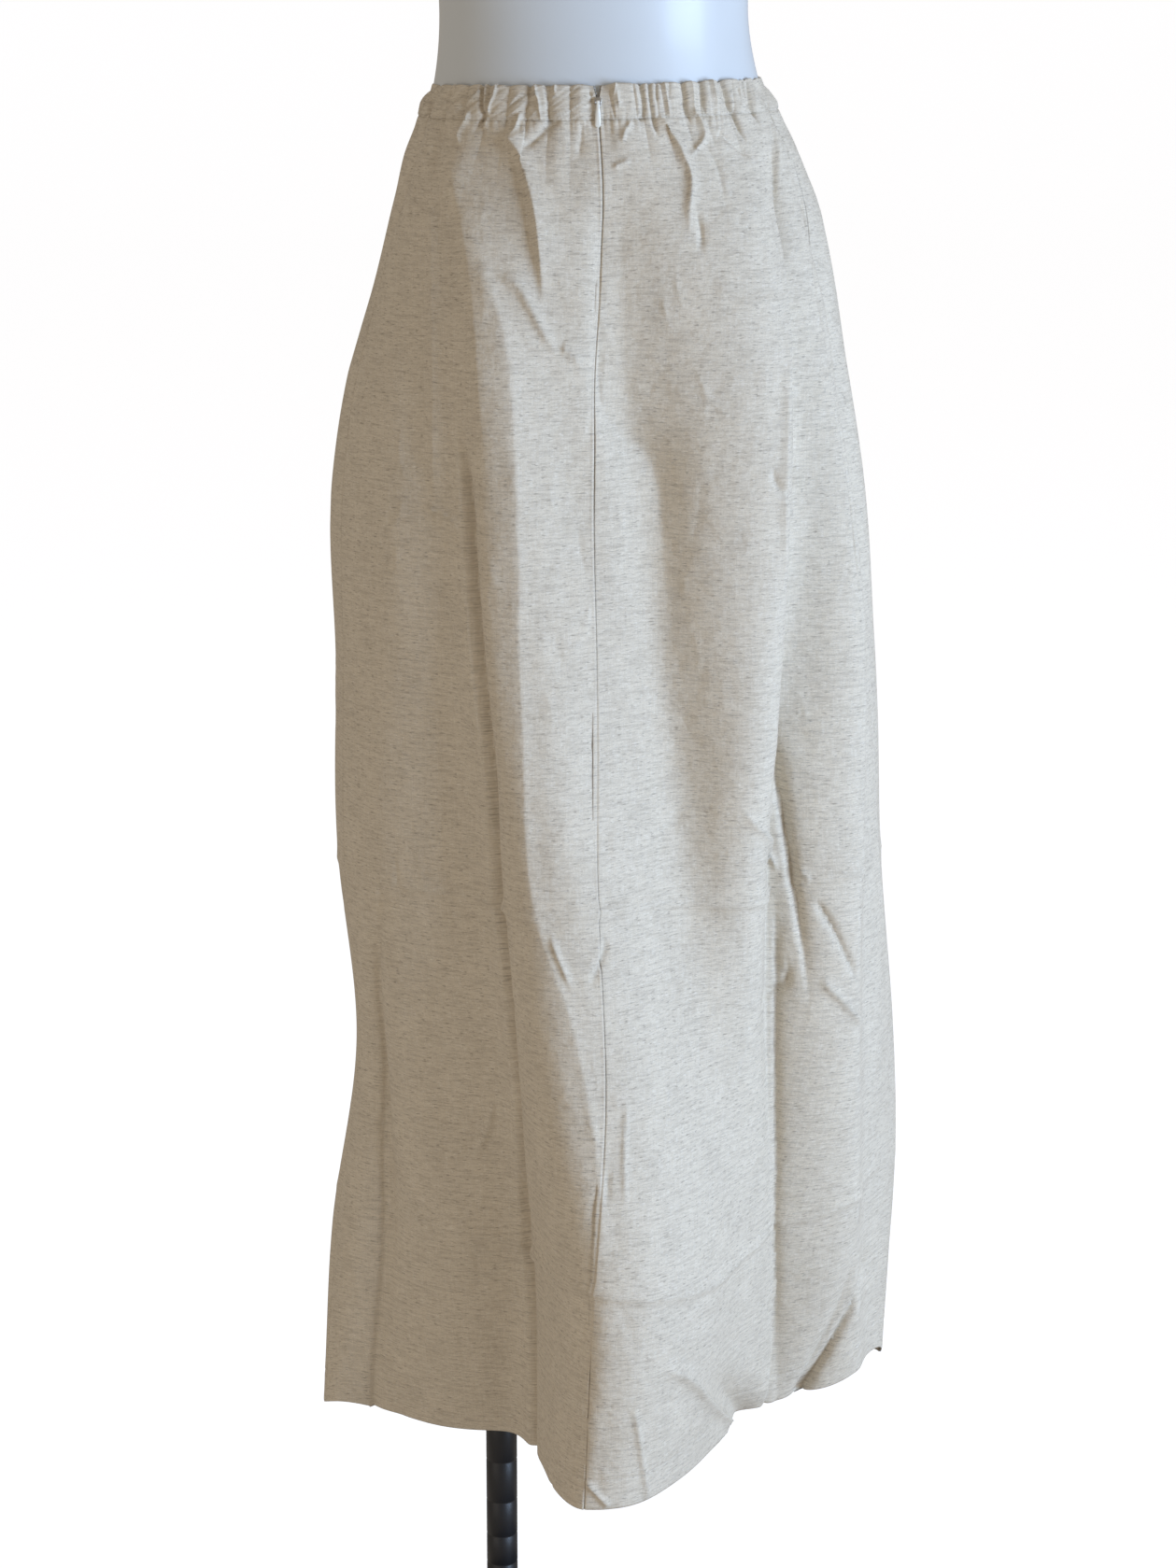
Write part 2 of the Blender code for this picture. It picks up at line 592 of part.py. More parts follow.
def make_tape(collection, material):
    """The zip's tape, a strip that follows the inside of the centre-back seam row for row.

    It lies flat where the cloth in front of it is gathered.
    """
    band_rows = [TAPE_TOP] + [drop for drop in BAND_ROWS if drop > TAPE_TOP]
    drops = band_rows + [drop for drop in panel_rows()[1:] if drop < TAPE_BOTTOM]
    outer_rows = []
    inner_rows = []
    for drop in drops:
        wall = BAND_WALL if drop <= BAND_DEPTH + TOP_ROWS[1] else CLOTH_WALL
        back = float(seam_angle(BACK_SEAM_ROWS, drop))
        reach = degrees_for(TAPE_HALF_WIDTH, back, drop)
        angles = back + np.array([-reach, 0.0, reach])
        normal = skirt_normal(angles, drop)
        outer_rows.append(skirt_point(angles, drop, gathered=False) - (wall + TAPE_GAP) * normal)
        inner_rows.append(outer_rows[-1] - TAPE_WALL * normal)
    return add_wall("zip_tape", outer_rows, inner_rows, collection, material)


def hinge_place():
    """The pull tab's hinge, and how far the casing leans back from upright there."""
    normal = skirt_normal(0.0, SLIDER_DROP)
    outside = skirt_point(0.0, SLIDER_DROP) + band_swell(SLIDER_DROP) * normal
    return outside + HINGE_STANDOFF * normal, math.atan2(-normal[2], -normal[1])


def add_box(name, size, centre, collection):
    """A box at the world's origin, its place and size in its mesh."""
    mesh = bpy.data.meshes.new(name)
    work = bmesh.new()
    bmesh.ops.create_cube(work, size=1.0)
    bmesh.ops.scale(work, vec=size, verts=work.verts)
    bmesh.ops.translate(work, vec=centre, verts=work.verts)
    work.to_mesh(mesh)
    work.free()
    box = bpy.data.objects.new(name, mesh)
    collection.objects.link(box)
    return box


def add_cross_pin(name, radius, half_length, collection):
    """A cylinder along X about the hinge."""
    mesh = bpy.data.meshes.new(name)
    work = bmesh.new()
    bmesh.ops.create_cone(work, cap_ends=True, segments=PIN_SIDES, radius1=radius, radius2=radius,
                          depth=2.0 * half_length)
    bmesh.ops.rotate(work, cent=(0.0, 0.0, 0.0), matrix=Matrix.Rotation(math.pi / 2, 3, "Y"), verts=work.verts)
    work.to_mesh(mesh)
    work.free()
    pin = bpy.data.objects.new(name, mesh)
    collection.objects.link(pin)
    return pin


def combine(part, cutter, operation, parent):
    """Join or cut one shape with another, which stays in the collection of cutters."""
    cutter.hide_render = True
    cutter.display_type = "WIRE"
    cutter.parent = parent
    boolean = part.modifiers.new(cutter.name, "BOOLEAN")
    boolean.operation = operation
    boolean.solver = "EXACT"
    boolean.object = cutter


def make_slider(collection, cutters, hinge, metal):
    """The slider: a plate on the casing, a neck between its edges, two ears and the hinge pin."""
    plate_back = HINGE_STANDOFF - SEAM_GAP
    plate_front = plate_back - PLATE[1]
    slider = add_box("zip_slider", PLATE, (0.0, (plate_back + plate_front) / 2, 0.0), collection)
    slider.parent = hinge
    slider.data.materials.append(metal)
    neck_start = plate_back - OVERLAP
    neck_end = HINGE_STANDOFF + BAND_WALL + band_swell(SLIDER_DROP) - SEAM_GAP
    neck_size = (NECK_WIDTH, neck_end - neck_start, NECK_HEIGHT)
    combine(slider, add_box("slider_neck", neck_size, (0.0, (neck_start + neck_end) / 2, 0.0), cutters),
            "UNION", hinge)
    ear_start = -EAR_REACH
    ear_end = plate_front + OVERLAP
    ear_size = (EAR_WALL, ear_end - ear_start, EAR_HEIGHT)
    ear_x = (PLATE[0] - EAR_WALL) / 2
    for name, side in (("slider_ear_left", -1.0), ("slider_ear_right", 1.0)):
        ear = add_box(name, ear_size, (side * ear_x, (ear_start + ear_end) / 2, 0.0), cutters)
        combine(slider, ear, "UNION", hinge)
    pin = add_cross_pin("slider_pin", PIN_RADIUS, ear_x, cutters)
    combine(slider, pin, "UNION", hinge)
    return slider


def tab_outline():
    """The teardrop's outline as width and height: straight sides down to a round end."""
    end = TAB_LENGTH - TAB_HALF_WIDTH
    turns = np.linspace(0.0, -math.pi, TAB_ARC_STEPS + 1)
    round_end = [(TAB_HALF_WIDTH * math.cos(turn), TAB_HALF_WIDTH * math.sin(turn) - end) for turn in turns]
    top = -(KNUCKLE_BORE + KNUCKLE_RADIUS) / 2
    return [(TAB_TOP_HALF_WIDTH, top)] + round_end + [(-TAB_TOP_HALF_WIDTH, top)]


def make_pull_tab(collection, cutters, hinge, cream):
    """The pull tab: a flat teardrop below a knuckle that turns on the slider's pin."""
    outline = tab_outline()
    mesh = bpy.data.meshes.new("zip_pull_tab")
    work = bmesh.new()
    face = work.faces.new([work.verts.new((x, TAB_WALL / 2, z)) for x, z in outline])
    pushed = bmesh.ops.extrude_face_region(work, geom=[face])
    moved = [item for item in pushed["geom"] if isinstance(item, bmesh.types.BMVert)]
    bmesh.ops.translate(work, vec=(0.0, -TAB_WALL, 0.0), verts=moved)
    bmesh.ops.recalc_face_normals(work, faces=work.faces)
    work.to_mesh(mesh)
    work.free()
    tab = add_object("zip_pull_tab", mesh, collection, cream)
    hang = bpy.data.objects.new("pull_tab_hang", None)
    collection.objects.link(hang)
    hang.parent = hinge
    hang.rotation_euler = (math.radians(TAB_TILT), 0.0, 0.0)
    tab.parent = hang
    combine(tab, add_cross_pin("tab_knuckle", KNUCKLE_RADIUS, KNUCKLE_HALF_WIDTH, cutters), "UNION", hang)
    combine(tab, add_cross_pin("tab_bore", KNUCKLE_BORE, KNUCKLE_HALF_WIDTH * 2, cutters), "DIFFERENCE", hang)
    return tab


def make_zip(collection, cutters, tape_cloth, metal, cream):
    """The tape, and the slider with its pull tab on one empty at the tab's hinge."""
    make_tape(collection, tape_cloth)
    place, lean = hinge_place()
    hinge = bpy.data.objects.new("pull_tab_hinge", None)
    hinge.location = place
    hinge.rotation_euler = (lean, 0.0, 0.0)
    collection.objects.link(hinge)
    make_slider(collection, cutters, hinge, metal)
    make_pull_tab(collection, cutters, hinge, cream)


# ---------------------------------------------------------------- dress form and stand

def form_ring(height):
    """One oval ring of the torso, a height above the waistband's top."""
    places = column(FORM_SECTIONS, FORM_COLUMNS, "height")
    half_width, centre_x, back, front = (
        smooth(places, column(FORM_SECTIONS, FORM_COLUMNS, name), height) for name in FORM_COLUMNS[1:])
    turn = np.linspace(0.0, 2.0 * math.pi, FORM_SIDES, endpoint=False)
    depth = np.where(np.cos(turn) > 0.0, back, front)
    x = centre_x + half_width * np.sin(turn)
    y = -depth * np.cos(turn)
    return np.stack([x, y, np.full(FORM_SIDES, WAIST_TOP + height)], axis=-1)


def make_torso(collection, shell):
    """The smooth limbless torso, cut flat under the hips and at the neck."""
    stations = column(FORM_SECTIONS, FORM_COLUMNS, "height")
    between = [(low + high) / 2 for low, high in zip(stations[:-1], stations[1:]) if high - low > FORM_RING_STEP]
    heights = sorted(list(stations) + between)
    return add_loft("form_torso", [form_ring(height) for height in heights], collection, shell)


def make_stand(collection, black):
    """The base plate, the pole, and the collars that hold the pole at both ends."""
    form_bottom = WAIST_TOP + FORM_SECTIONS[0][0]
    plate = add_turned("base_plate", [(BASE_RADIUS, BASE_THICKNESS), (BASE_RADIUS, 0.0)], 0.0,
                       BASE_SIDES, collection, black)
    bevel = plate.modifiers.new("rounded_rim", "BEVEL")
    bevel.width = BASE_BEVEL
    bevel.segments = 2
    bevel.limit_method = "ANGLE"
    foot = BASE_THICKNESS + SEAM_GAP
    pole_bottom = foot + COLLAR_HEIGHT - POLE_GRIP
    socket_top = form_bottom - SEAM_GAP
    pole_top = socket_top - SOCKET_HEIGHT + POLE_GRIP
    inner = POLE_RADIUS + SEAM_GAP
    add_turned("base_collar", [
        (inner, foot + COLLAR_HEIGHT), (COLLAR_NECK_RADIUS, foot + COLLAR_HEIGHT),
        (COLLAR_NECK_RADIUS, foot + COLLAR_FOOT), (COLLAR_RADIUS, foot + COLLAR_FOOT / 2),
        (COLLAR_RADIUS, foot)], POLE_X, ROUND_SIDES, collection, black, pole_bottom - SEAM_GAP)
    add_turned("form_pole", [(POLE_RADIUS, pole_top), (POLE_RADIUS, pole_bottom)], POLE_X, POLE_SIDES,
               collection, black)
    add_turned("form_socket", [
        (SOCKET_RADIUS, socket_top), (SOCKET_RADIUS, socket_top - SOCKET_PLATE),
        (SOCKET_NECK_RADIUS, socket_top - 2 * SOCKET_PLATE), (SOCKET_NECK_RADIUS, socket_top - SOCKET_HEIGHT),
        (inner, socket_top - SOCKET_HEIGHT)], POLE_X, ROUND_SIDES, collection, black, pole_top + SEAM_GAP)


# ---------------------------------------------------------------- the whole

def main():
    for old in list(bpy.data.objects):
        bpy.data.objects.remove(old, do_unlink=True)
    collection = bpy.data.collections.new(COLLECTION)
    cutters = bpy.data.collections.new("cutters")
    bpy.context.scene.collection.children.link(collection)
    bpy.context.scene.collection.children.link(cutters)
    cloth = make_material("linen_cloth", (0.62, 0.57, 0.49), 0.9)
    tape_cloth = make_material("zip_tape_cloth", (0.70, 0.65, 0.56), 0.85)
    metal = make_material("slider_metal", (0.55, 0.53, 0.50), 0.35, 1.0)
    cream = make_material("pull_tab_enamel", (0.78, 0.73, 0.62), 0.35)
    shell = make_material("form_shell", (0.80, 0.83, 0.88), 0.4)
    black = make_material("stand_black", (0.012, 0.012, 0.014), 0.4)
    make_skirt(collection, cloth)
    make_zip(collection, cutters, tape_cloth, metal, cream)
    make_torso(collection, shell)
    make_stand(collection, black)


if __name__ == "__main__":
    main()
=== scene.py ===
# A long gathered linen skirt on a limbless dress form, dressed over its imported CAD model.
# Metres, +Z up. The skirt's back, with its zip, faces -Y. Angles round it are 0 at the centre back,
# 90 at the right as one faces the back, and 180 at the centre front. A drop is a distance below the
# casing's top edge. Across is a distance round the cloth, + to the right as one faces it.

import math

import bpy
import numpy as np
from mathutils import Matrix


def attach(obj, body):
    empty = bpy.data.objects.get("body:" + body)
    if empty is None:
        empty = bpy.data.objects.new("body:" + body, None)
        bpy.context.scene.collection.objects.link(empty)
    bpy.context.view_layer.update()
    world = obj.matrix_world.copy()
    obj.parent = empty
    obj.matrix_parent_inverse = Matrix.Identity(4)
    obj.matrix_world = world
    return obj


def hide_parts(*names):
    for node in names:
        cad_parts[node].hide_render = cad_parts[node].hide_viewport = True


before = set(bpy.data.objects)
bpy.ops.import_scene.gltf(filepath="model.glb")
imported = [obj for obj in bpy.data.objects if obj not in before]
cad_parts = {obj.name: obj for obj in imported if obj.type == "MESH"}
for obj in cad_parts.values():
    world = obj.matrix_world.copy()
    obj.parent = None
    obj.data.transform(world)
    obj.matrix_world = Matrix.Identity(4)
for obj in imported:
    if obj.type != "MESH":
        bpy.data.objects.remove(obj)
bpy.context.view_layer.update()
scene = bpy.context.scene
tau = 2.0 * math.pi

# the camera comes first, because everything is looked at through it
camera = {
    "place": (0.0, -2.735, 1.445),
    "tiltDown": 14.0,
    "lens": 83.62,              # mm, for 36 mm along the render's longer side
}


def makeCamera(c):
    # Behind the skirt, looking along +Y and tilted down
    lens = bpy.data.cameras.new("backView")
    lens.lens = c["lens"]
    lens.clip_end = 100.0
    eye = bpy.data.objects.new("backView", lens)
    eye.location = c["place"]
    eye.rotation_euler = (math.radians(90.0 - c["tiltDown"]), 0.0, 0.0)
    scene.collection.objects.link(eye)
    scene.camera = eye


makeCamera(camera)
print("camera ready")


def curveThrough(places, values, at):
    # Cubic through a table's rows, its slopes from each row's neighbours, flat outside the table:
    # v0 (1 - r) + v1 r + step u (1 - u) ((1 - u) s0 - u s1), where r = u u (3 - 2 u)
    at = np.clip(at, places[0], places[-1])
    slopes = np.gradient(values, places)
    i = np.clip(np.searchsorted(places, at, side="right") - 1, 0, len(places) - 2)
    step = places[i + 1] - places[i]
    u = (at - places[i]) / step
    rise = u * u * (3.0 - 2.0 * u)
    return (values[i] * (1.0 - rise) + values[i + 1] * rise
            + step * u * (1.0 - u) * ((1.0 - u) * slopes[i] - u * slopes[i + 1]))


def ease(low, high, at):
    # 0 below low, 1 above high, and u u (3 - 2 u) between
    u = np.clip((at - low) / (high - low), 0.0, 1.0)
    return u * u * (3.0 - 2.0 * u)


def normalized(vectors):
    return vectors / np.linalg.norm(vectors, axis=-1, keepdims=True)


def gridNormals(points):
    # Outward normals of a grid of rows down and columns round: step down x step round
    return normalized(np.cross(np.gradient(points, axis=0), np.gradient(points, axis=1)))


def addPiece(name, points, faces, material, body, uv=None):
    # Arrays of points (n, 3) and faces into one mesh object at the origin, riding on its body
    mesh = bpy.data.meshes.new(name)
    if isinstance(faces, np.ndarray):
        faces = faces.tolist()
    mesh.from_pydata(np.asarray(points).reshape(-1, 3).tolist(), [], faces)
    if uv is not None:
        corners = np.zeros(len(mesh.loops), dtype=np.int32)
        mesh.loops.foreach_get("vertex_index", corners)
        layer = mesh.uv_layers.new(name="clothUV")
        layer.data.foreach_set("uv", np.asarray(uv, dtype=np.float32)[corners].ravel())
    mesh.shade_smooth()
    mesh.materials.append(material)
    mesh.validate()
    piece = bpy.data.objects.new(name, mesh)
    scene.collection.objects.link(piece)
    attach(piece, body)
    return piece


def quadsBetween(number):
    # Quads between neighbours in a grid of vertex numbers
    quads = np.stack([number[:-1, :-1], number[1:, :-1], number[1:, 1:], number[:-1, 1:]], axis=-1)
    return quads.reshape(-1, 4)


def gridFaces(rows, columns, start=0, closedRound=False, flip=False):
    # Quads between the rows and columns of a grid, as an array of vertex numbers
    number = start + np.arange(rows * columns).reshape(rows, columns)
    if closedRound:
        number = np.concatenate([number, number[:, :1]], axis=1)
    quads = quadsBetween(number)
    return quads[:, ::-1] if flip else quads


def gridRim(number):
    # The numbers along a grid's four edges: left side down, bottom, right side up, top
    return np.concatenate([number[:, 0], number[-1, 1:], number[-2::-1, -1], number[0, -2:0:-1]])


def clothShell(outer, inner):
    # Two sheets closed along their four edges: outer facing out, and inner, every second row and
    # column of the same odd-sized grid, facing in. Along the rim two outer edges meet one inner edge
    rows, columns = outer.shape[:2]
    few = inner[::2, ::2]
    count = rows * columns
    edge = gridRim(np.arange(count).reshape(rows, columns))
    far = gridRim(count + np.arange(few.shape[0] * few.shape[1]).reshape(few.shape[:2]))
    rim = np.stack([np.roll(edge, -2)[::2], edge[1::2], edge[::2], far, np.roll(far, -1)], axis=-1)
    faces = (gridFaces(rows, columns).tolist() + gridFaces(*few.shape[:2], count, flip=True).tolist()
             + rim.tolist())
    return np.concatenate([outer.reshape(-1, 3), few.reshape(-1, 3)]), faces


def triangleCount(piece):
    piece.data.calc_loop_triangles()
    return len(piece.data.loop_triangles)


def closedTube(rings):
    # A solid through closed rings, from the top down, each end closed to its middle point
    count, sides = rings.shape[:2]
    ends = np.stack([rings[0].mean(axis=0), rings[-1].mean(axis=0)])
    points = np.concatenate([rings.reshape(-1, 3), ends])
    faces = gridFaces(count, sides, closedRound=True).tolist()
    top, bottom = count * sides, count * sides + 1
    last = (count - 1) * sides
    faces += [(top, i, (i + 1) % sides) for i in range(sides)]
    faces += [(bottom, last + (i + 1) % sides, last + i) for i in range(sides)]
    return points, faces


def turnedRings(profile, centre, sides):
    # A profile of (radius, height) from the top down, turned round an upright axis
    turn = np.linspace(0.0, tau, sides, endpoint=False)
    radius, height = np.array(profile).T
    x = centre[0] + radius[:, None] * np.sin(turn)
    y = centre[1] - radius[:, None] * np.cos(turn)
    return np.stack([x, y, np.repeat(height[:, None], sides, axis=1)], axis=-1)


def newMaterial(name, colour, roughness, metallic=0.0):
    # A Principled material and the helpers that wire its nodes
    material = bpy.data.materials.new(name)
    material.use_nodes = True
    tree = material.node_tree
    shader = tree.nodes["Principled BSDF"]
    shader.inputs["Base Color"].default_value = (*colour, 1.0)
    shader.inputs["Roughness"].default_value = roughness
    shader.inputs["Metallic"].default_value = metallic
    return material, tree, shader


def node(tree, kind, **settings):
    # A node with its properties and its inputs set by name; an input given a socket is linked
    made = tree.nodes.new(kind)
    for name, value in settings.items():
        if hasattr(made, name) and name not in made.inputs:
            setattr(made, name, value)
            continue
        socket = made.inputs[name.replace("_", " ")]
        if isinstance(value, bpy.types.NodeSocket):
            tree.links.new(value, socket)
        else:
            socket.default_value = value
    return made


def stretchedNoise(tree, vector, scale, detail=2.0, rough=0.5):
    # Noise on a vector scaled by a different number along each axis
    placed = node(tree, "ShaderNodeMapping", Vector=vector, Scale=scale)
    noise = node(tree, "ShaderNodeTexNoise", Scale=1.0, Detail=detail, Roughness=rough)
    tree.links.new(placed.outputs["Vector"], noise.inputs["Vector"])
    return noise.outputs["Fac"]


def ramp(tree, value, low, high, first=0.0, last=1.0):
    # first at low, last at high, straight between
    made = node(tree, "ShaderNodeMapRange")
    made.inputs["From Min"].default_value = low
    made.inputs["From Max"].default_value = high
    made.inputs["To Min"].default_value = first
    made.inputs["To Max"].default_value = last
    tree.links.new(value, made.inputs["Value"])
    return made.outputs["Result"]


def mixColour(tree, factor, a, b):
    # Colour a, and b by the factor
    made = tree.nodes.new("ShaderNodeMix")
    made.data_type = "RGBA"
    for socket, value in ((made.inputs[0], factor), (made.inputs[6], a), (made.inputs[7], b)):
        if isinstance(value, bpy.types.NodeSocket):
            tree.links.new(value, socket)
        else:
            socket.default_value = (*value, 1.0)
    return made.outputs[2]


def maths(tree, operation, a, b):
    made = tree.nodes.new("ShaderNodeMath")
    made.operation = operation
    for socket, value in zip(made.inputs, (a, b)):
        if isinstance(value, bpy.types.NodeSocket):
            tree.links.new(value, socket)
        else:
            socket.default_value = value
    return made.outputs["Value"]


def bands(tree, place, direction, pitch, distortion=0.0):
    # Waves a pitch apart along one direction
    wave = node(tree, "ShaderNodeTexWave", wave_type="BANDS", bands_direction=direction, Vector=place)
    wave.inputs["Scale"].default_value = math.pi / 10.0 / pitch
    wave.inputs["Distortion"].default_value = distortion
    return wave.outputs["Fac"]


def raised(tree, depth, height, below=None):
    # Bump of a depth for each unit of height, on top of another bump's normal
    made = node(tree, "ShaderNodeBump", Strength=1.0, Distance=depth, Height=height)
    if below is not None:
        tree.links.new(below, made.inputs["Normal"])
    return made.outputs["Normal"]


linen = {
    "cloth": (0.735, 0.655, 0.530),
    "darkThread": (0.215, 0.180, 0.145),
    "paleThread": (0.900, 0.850, 0.765),
    "roughness": 0.90,
    "sheen": 0.06,
    # layers of colour from the lowest up: noise sizes per metre along and across the weft, its
    # detail and roughness, where the layer starts and is full, how much of it shows, and its thread
    "layers": {
        "clouds": ((34.0, 22.0), 3.0, 0.55, 0.32, 0.68, 0.10, "darkThread"),
        "warp": ((1050.0, 60.0), 2.0, 0.60, 0.44, 0.74, 0.26, "paleThread"),
        "streaks": ((40.0, 400.0), 4.0, 0.62, 0.45, 0.70, 0.28, "darkThread"),
        "threads": ((120.0, 900.0), 3.0, 0.60, 0.49, 0.74, 0.36, "darkThread"),
        "paleFlecks": ((260.0, 900.0), 1.0, 0.50, 0.56, 0.76, 0.40, "paleThread"),
        "longFlecks": ((70.0, 1100.0), 1.0, 0.50, 0.68, 0.76, 0.36, "darkThread"),
        "flecks": ((190.0, 900.0), 0.0, 0.50, 0.68, 0.78, 0.50, "darkThread"),
        "grain": ((900.0, 1400.0), 1.0, 0.50, 0.34, 0.70, 0.20, "darkThread"),
    },
    "weavePitch": 0.00080,
    "weaveDepth": 0.00007,
    "weaveWaver": 0.8,
    "threadRelief": 2.4,        # how far the threads stand out beside the weave
    # unevenness over the weave: noise sizes per metre, detail, roughness and depth
    "pucker": ((105.0, 145.0), 2.0, 0.50, 0.0004),
    "crumple": ((52.0, 60.0), 3.0, 0.55, 0.0018),
    "wrinkle": ((21.0, 15.0), 2.0, 0.45, 0.0022),
}


def makeLinen(c):
    # Slub linen: noise stretched along the weft for streaks, threads and flecks of darker flax,
    # the same stretched along the warp for paler threads, slow clouds and a fine grain. Its bump is
    # two crossed waves and the threads, then puckers, a crumple and, as |noise - 0.5|, wrinkles
    material, tree, shader = newMaterial("slubLinen", c["cloth"], c["roughness"])
    shader.inputs["Sheen Weight"].default_value = c["sheen"]
    shader.inputs["Sheen Roughness"].default_value = 0.5
    shader.inputs["Specular IOR Level"].default_value = 0.2
    place = node(tree, "ShaderNodeUVMap", uv_map="clothUV").outputs["UV"]
    colour, noises = c["cloth"], {}
    for name, (size, detail, rough, low, high, amount, thread) in c["layers"].items():
        noises[name] = stretchedNoise(tree, place, (*size, 1.0), detail, rough)
        shown = ramp(tree, noises[name], low, high, 0.0, amount)
        colour = mixColour(tree, shown, colour, c[thread])
    tree.links.new(colour, shader.inputs["Base Color"])
    waves = [bands(tree, place, direction, c["weavePitch"], c["weaveWaver"]) for direction in ("X", "Y")]
    relief = maths(tree, "MULTIPLY", noises["threads"], c["threadRelief"])
    height = maths(tree, "ADD", maths(tree, "MULTIPLY", *waves), relief)
    normal = raised(tree, c["weaveDepth"], height)
    for name in ("pucker", "crumple", "wrinkle"):
        size, detail, rough, depth = c[name]
        height = stretchedNoise(tree, place, (*size, 1.0), detail, rough)
        if name == "wrinkle":
            height = maths(tree, "ABSOLUTE", maths(tree, "SUBTRACT", height, 0.5), 0.0)
        normal = raised(tree, depth, height, normal)
    tree.links.new(normal, shader.inputs["Normal"])
    return material


def makeTapeCloth(colour):
    # Zip tape: fine ribs along the tape
    material, tree, shader = newMaterial("zipTapeCloth", colour, 0.8)
    place = node(tree, "ShaderNodeUVMap", uv_map="clothUV").outputs["UV"]
    ribs = bands(tree, place, "Y", 0.0009)
    tone = mixColour(tree, ramp(tree, ribs, 0.0, 1.0), tuple(v * 0.85 for v in colour), colour)
    tree.links.new(tone, shader.inputs["Base Color"])
    tree.links.new(raised(tree, 0.0001, ribs), shader.inputs["Normal"])
    return material


def makeHardFinish(name, colour, roughness, metallic=0.0, coat=0.0, wear=0.06, grain=0.00005):
    # Paint, enamel, plastic or metal: a faint cloudiness in tone and roughness, and a fine grain
    material, tree, shader = newMaterial(name, colour, roughness, metallic)
    shader.inputs["Coat Weight"].default_value = coat
    shader.inputs["Coat Roughness"].default_value = 0.15
    place = node(tree, "ShaderNodeTexCoord").outputs["Object"]
    clouds = stretchedNoise(tree, place, (9.0, 9.0, 9.0), 4.0, 0.6)
    worn = tuple(v * (1.0 - wear) for v in colour)
    fresh = tuple(min(1.0, v * (1.0 + wear / 2)) for v in colour)
    tone = mixColour(tree, ramp(tree, clouds, 0.3, 0.7), worn, fresh)
    tree.links.new(tone, shader.inputs["Base Color"])
    rough = ramp(tree, clouds, 0.3, 0.7, roughness * 0.9, roughness * 1.1)
    tree.links.new(rough, shader.inputs["Roughness"])
    fine = stretchedNoise(tree, place, (900.0, 900.0, 900.0), 2.0, 0.5)
    tree.links.new(raised(tree, grain, fine), shader.inputs["Normal"])
    return material


linenCloth = makeLinen(linen)
threadCotton = makeHardFinish("threadCotton", (0.66, 0.61, 0.53), 0.8)
tapeCloth = makeTapeCloth((0.72, 0.68, 0.60))
zipMetal = makeHardFinish("zipMetal", (0.50, 0.48, 0.45), 0.32, metallic=1.0)
creamEnamel = makeHardFinish("creamEnamel", (0.80, 0.77, 0.68), 0.3, coat=0.3)
formShell = makeHardFinish("formShell", (0.63, 0.66, 0.68), 0.38, coat=0.15, wear=0.02, grain=0.00003)
blackPaint = makeHardFinish("blackPaint", (0.010, 0.010, 0.012), 0.42, wear=0.2)
print("materials ready")


# the skirt as a whole
skirt = {
    "waistTop": 1.300,
    "length": 1.040,
    "casing": 0.0245,           # drop of the casing's lower seam
    "wall": 0.0011,
    "hemDepth": 0.026,
    "hemStep": 0.0012,          # over which the wall gets thicker in the turned hem
    "hemThicker": 0.75,
    "lean": 0.0195,             # it sits a little askew: rise for each metre towards +X
    "hemLiftStart": 0.70,
    "foldRise": 0.05,
}

hemLifts = ((71.0, 0.031, 25.0), (292.0, 0.013, 20.0))      # angle, height and spread in degrees

# sections of the skirt, each an oval of its own half width, back depth and front depth, in
# millimetres, and its turn in degrees
sectionColumns = ("drop", "halfWidth", "centreX", "back", "front", "turn")
sectionUnits = (1000.0, 1000.0, 1000.0, 1000.0, 1000.0, 1.0)
sections = (
    (0, 122.8, 6.5, 86.5, 90.5, 0.0),
    (30, 132.5, 8, 92.5, 97.5, 0.0),
    (52, 144, 9.5, 101, 106, 0.0),
    (80, 154.5, 11, 111, 116, 0.0),
    (148, 174, 11, 127, 129, 0.3),
    (218, 190, 8, 135, 137, 0.6),
    (289, 199.8, 7.5, 139, 143, 1.0),
    (434, 207, 13, 142, 155, 1.6),
    (582, 210.4, 17, 140, 170, 2.4),
    (734, 211.3, 28.5, 137, 184, 3.2),
    (890, 222.7, 20.5, 122, 196, 4.6),
    (1040, 226.5, 13, 82, 204, 6.0),
)

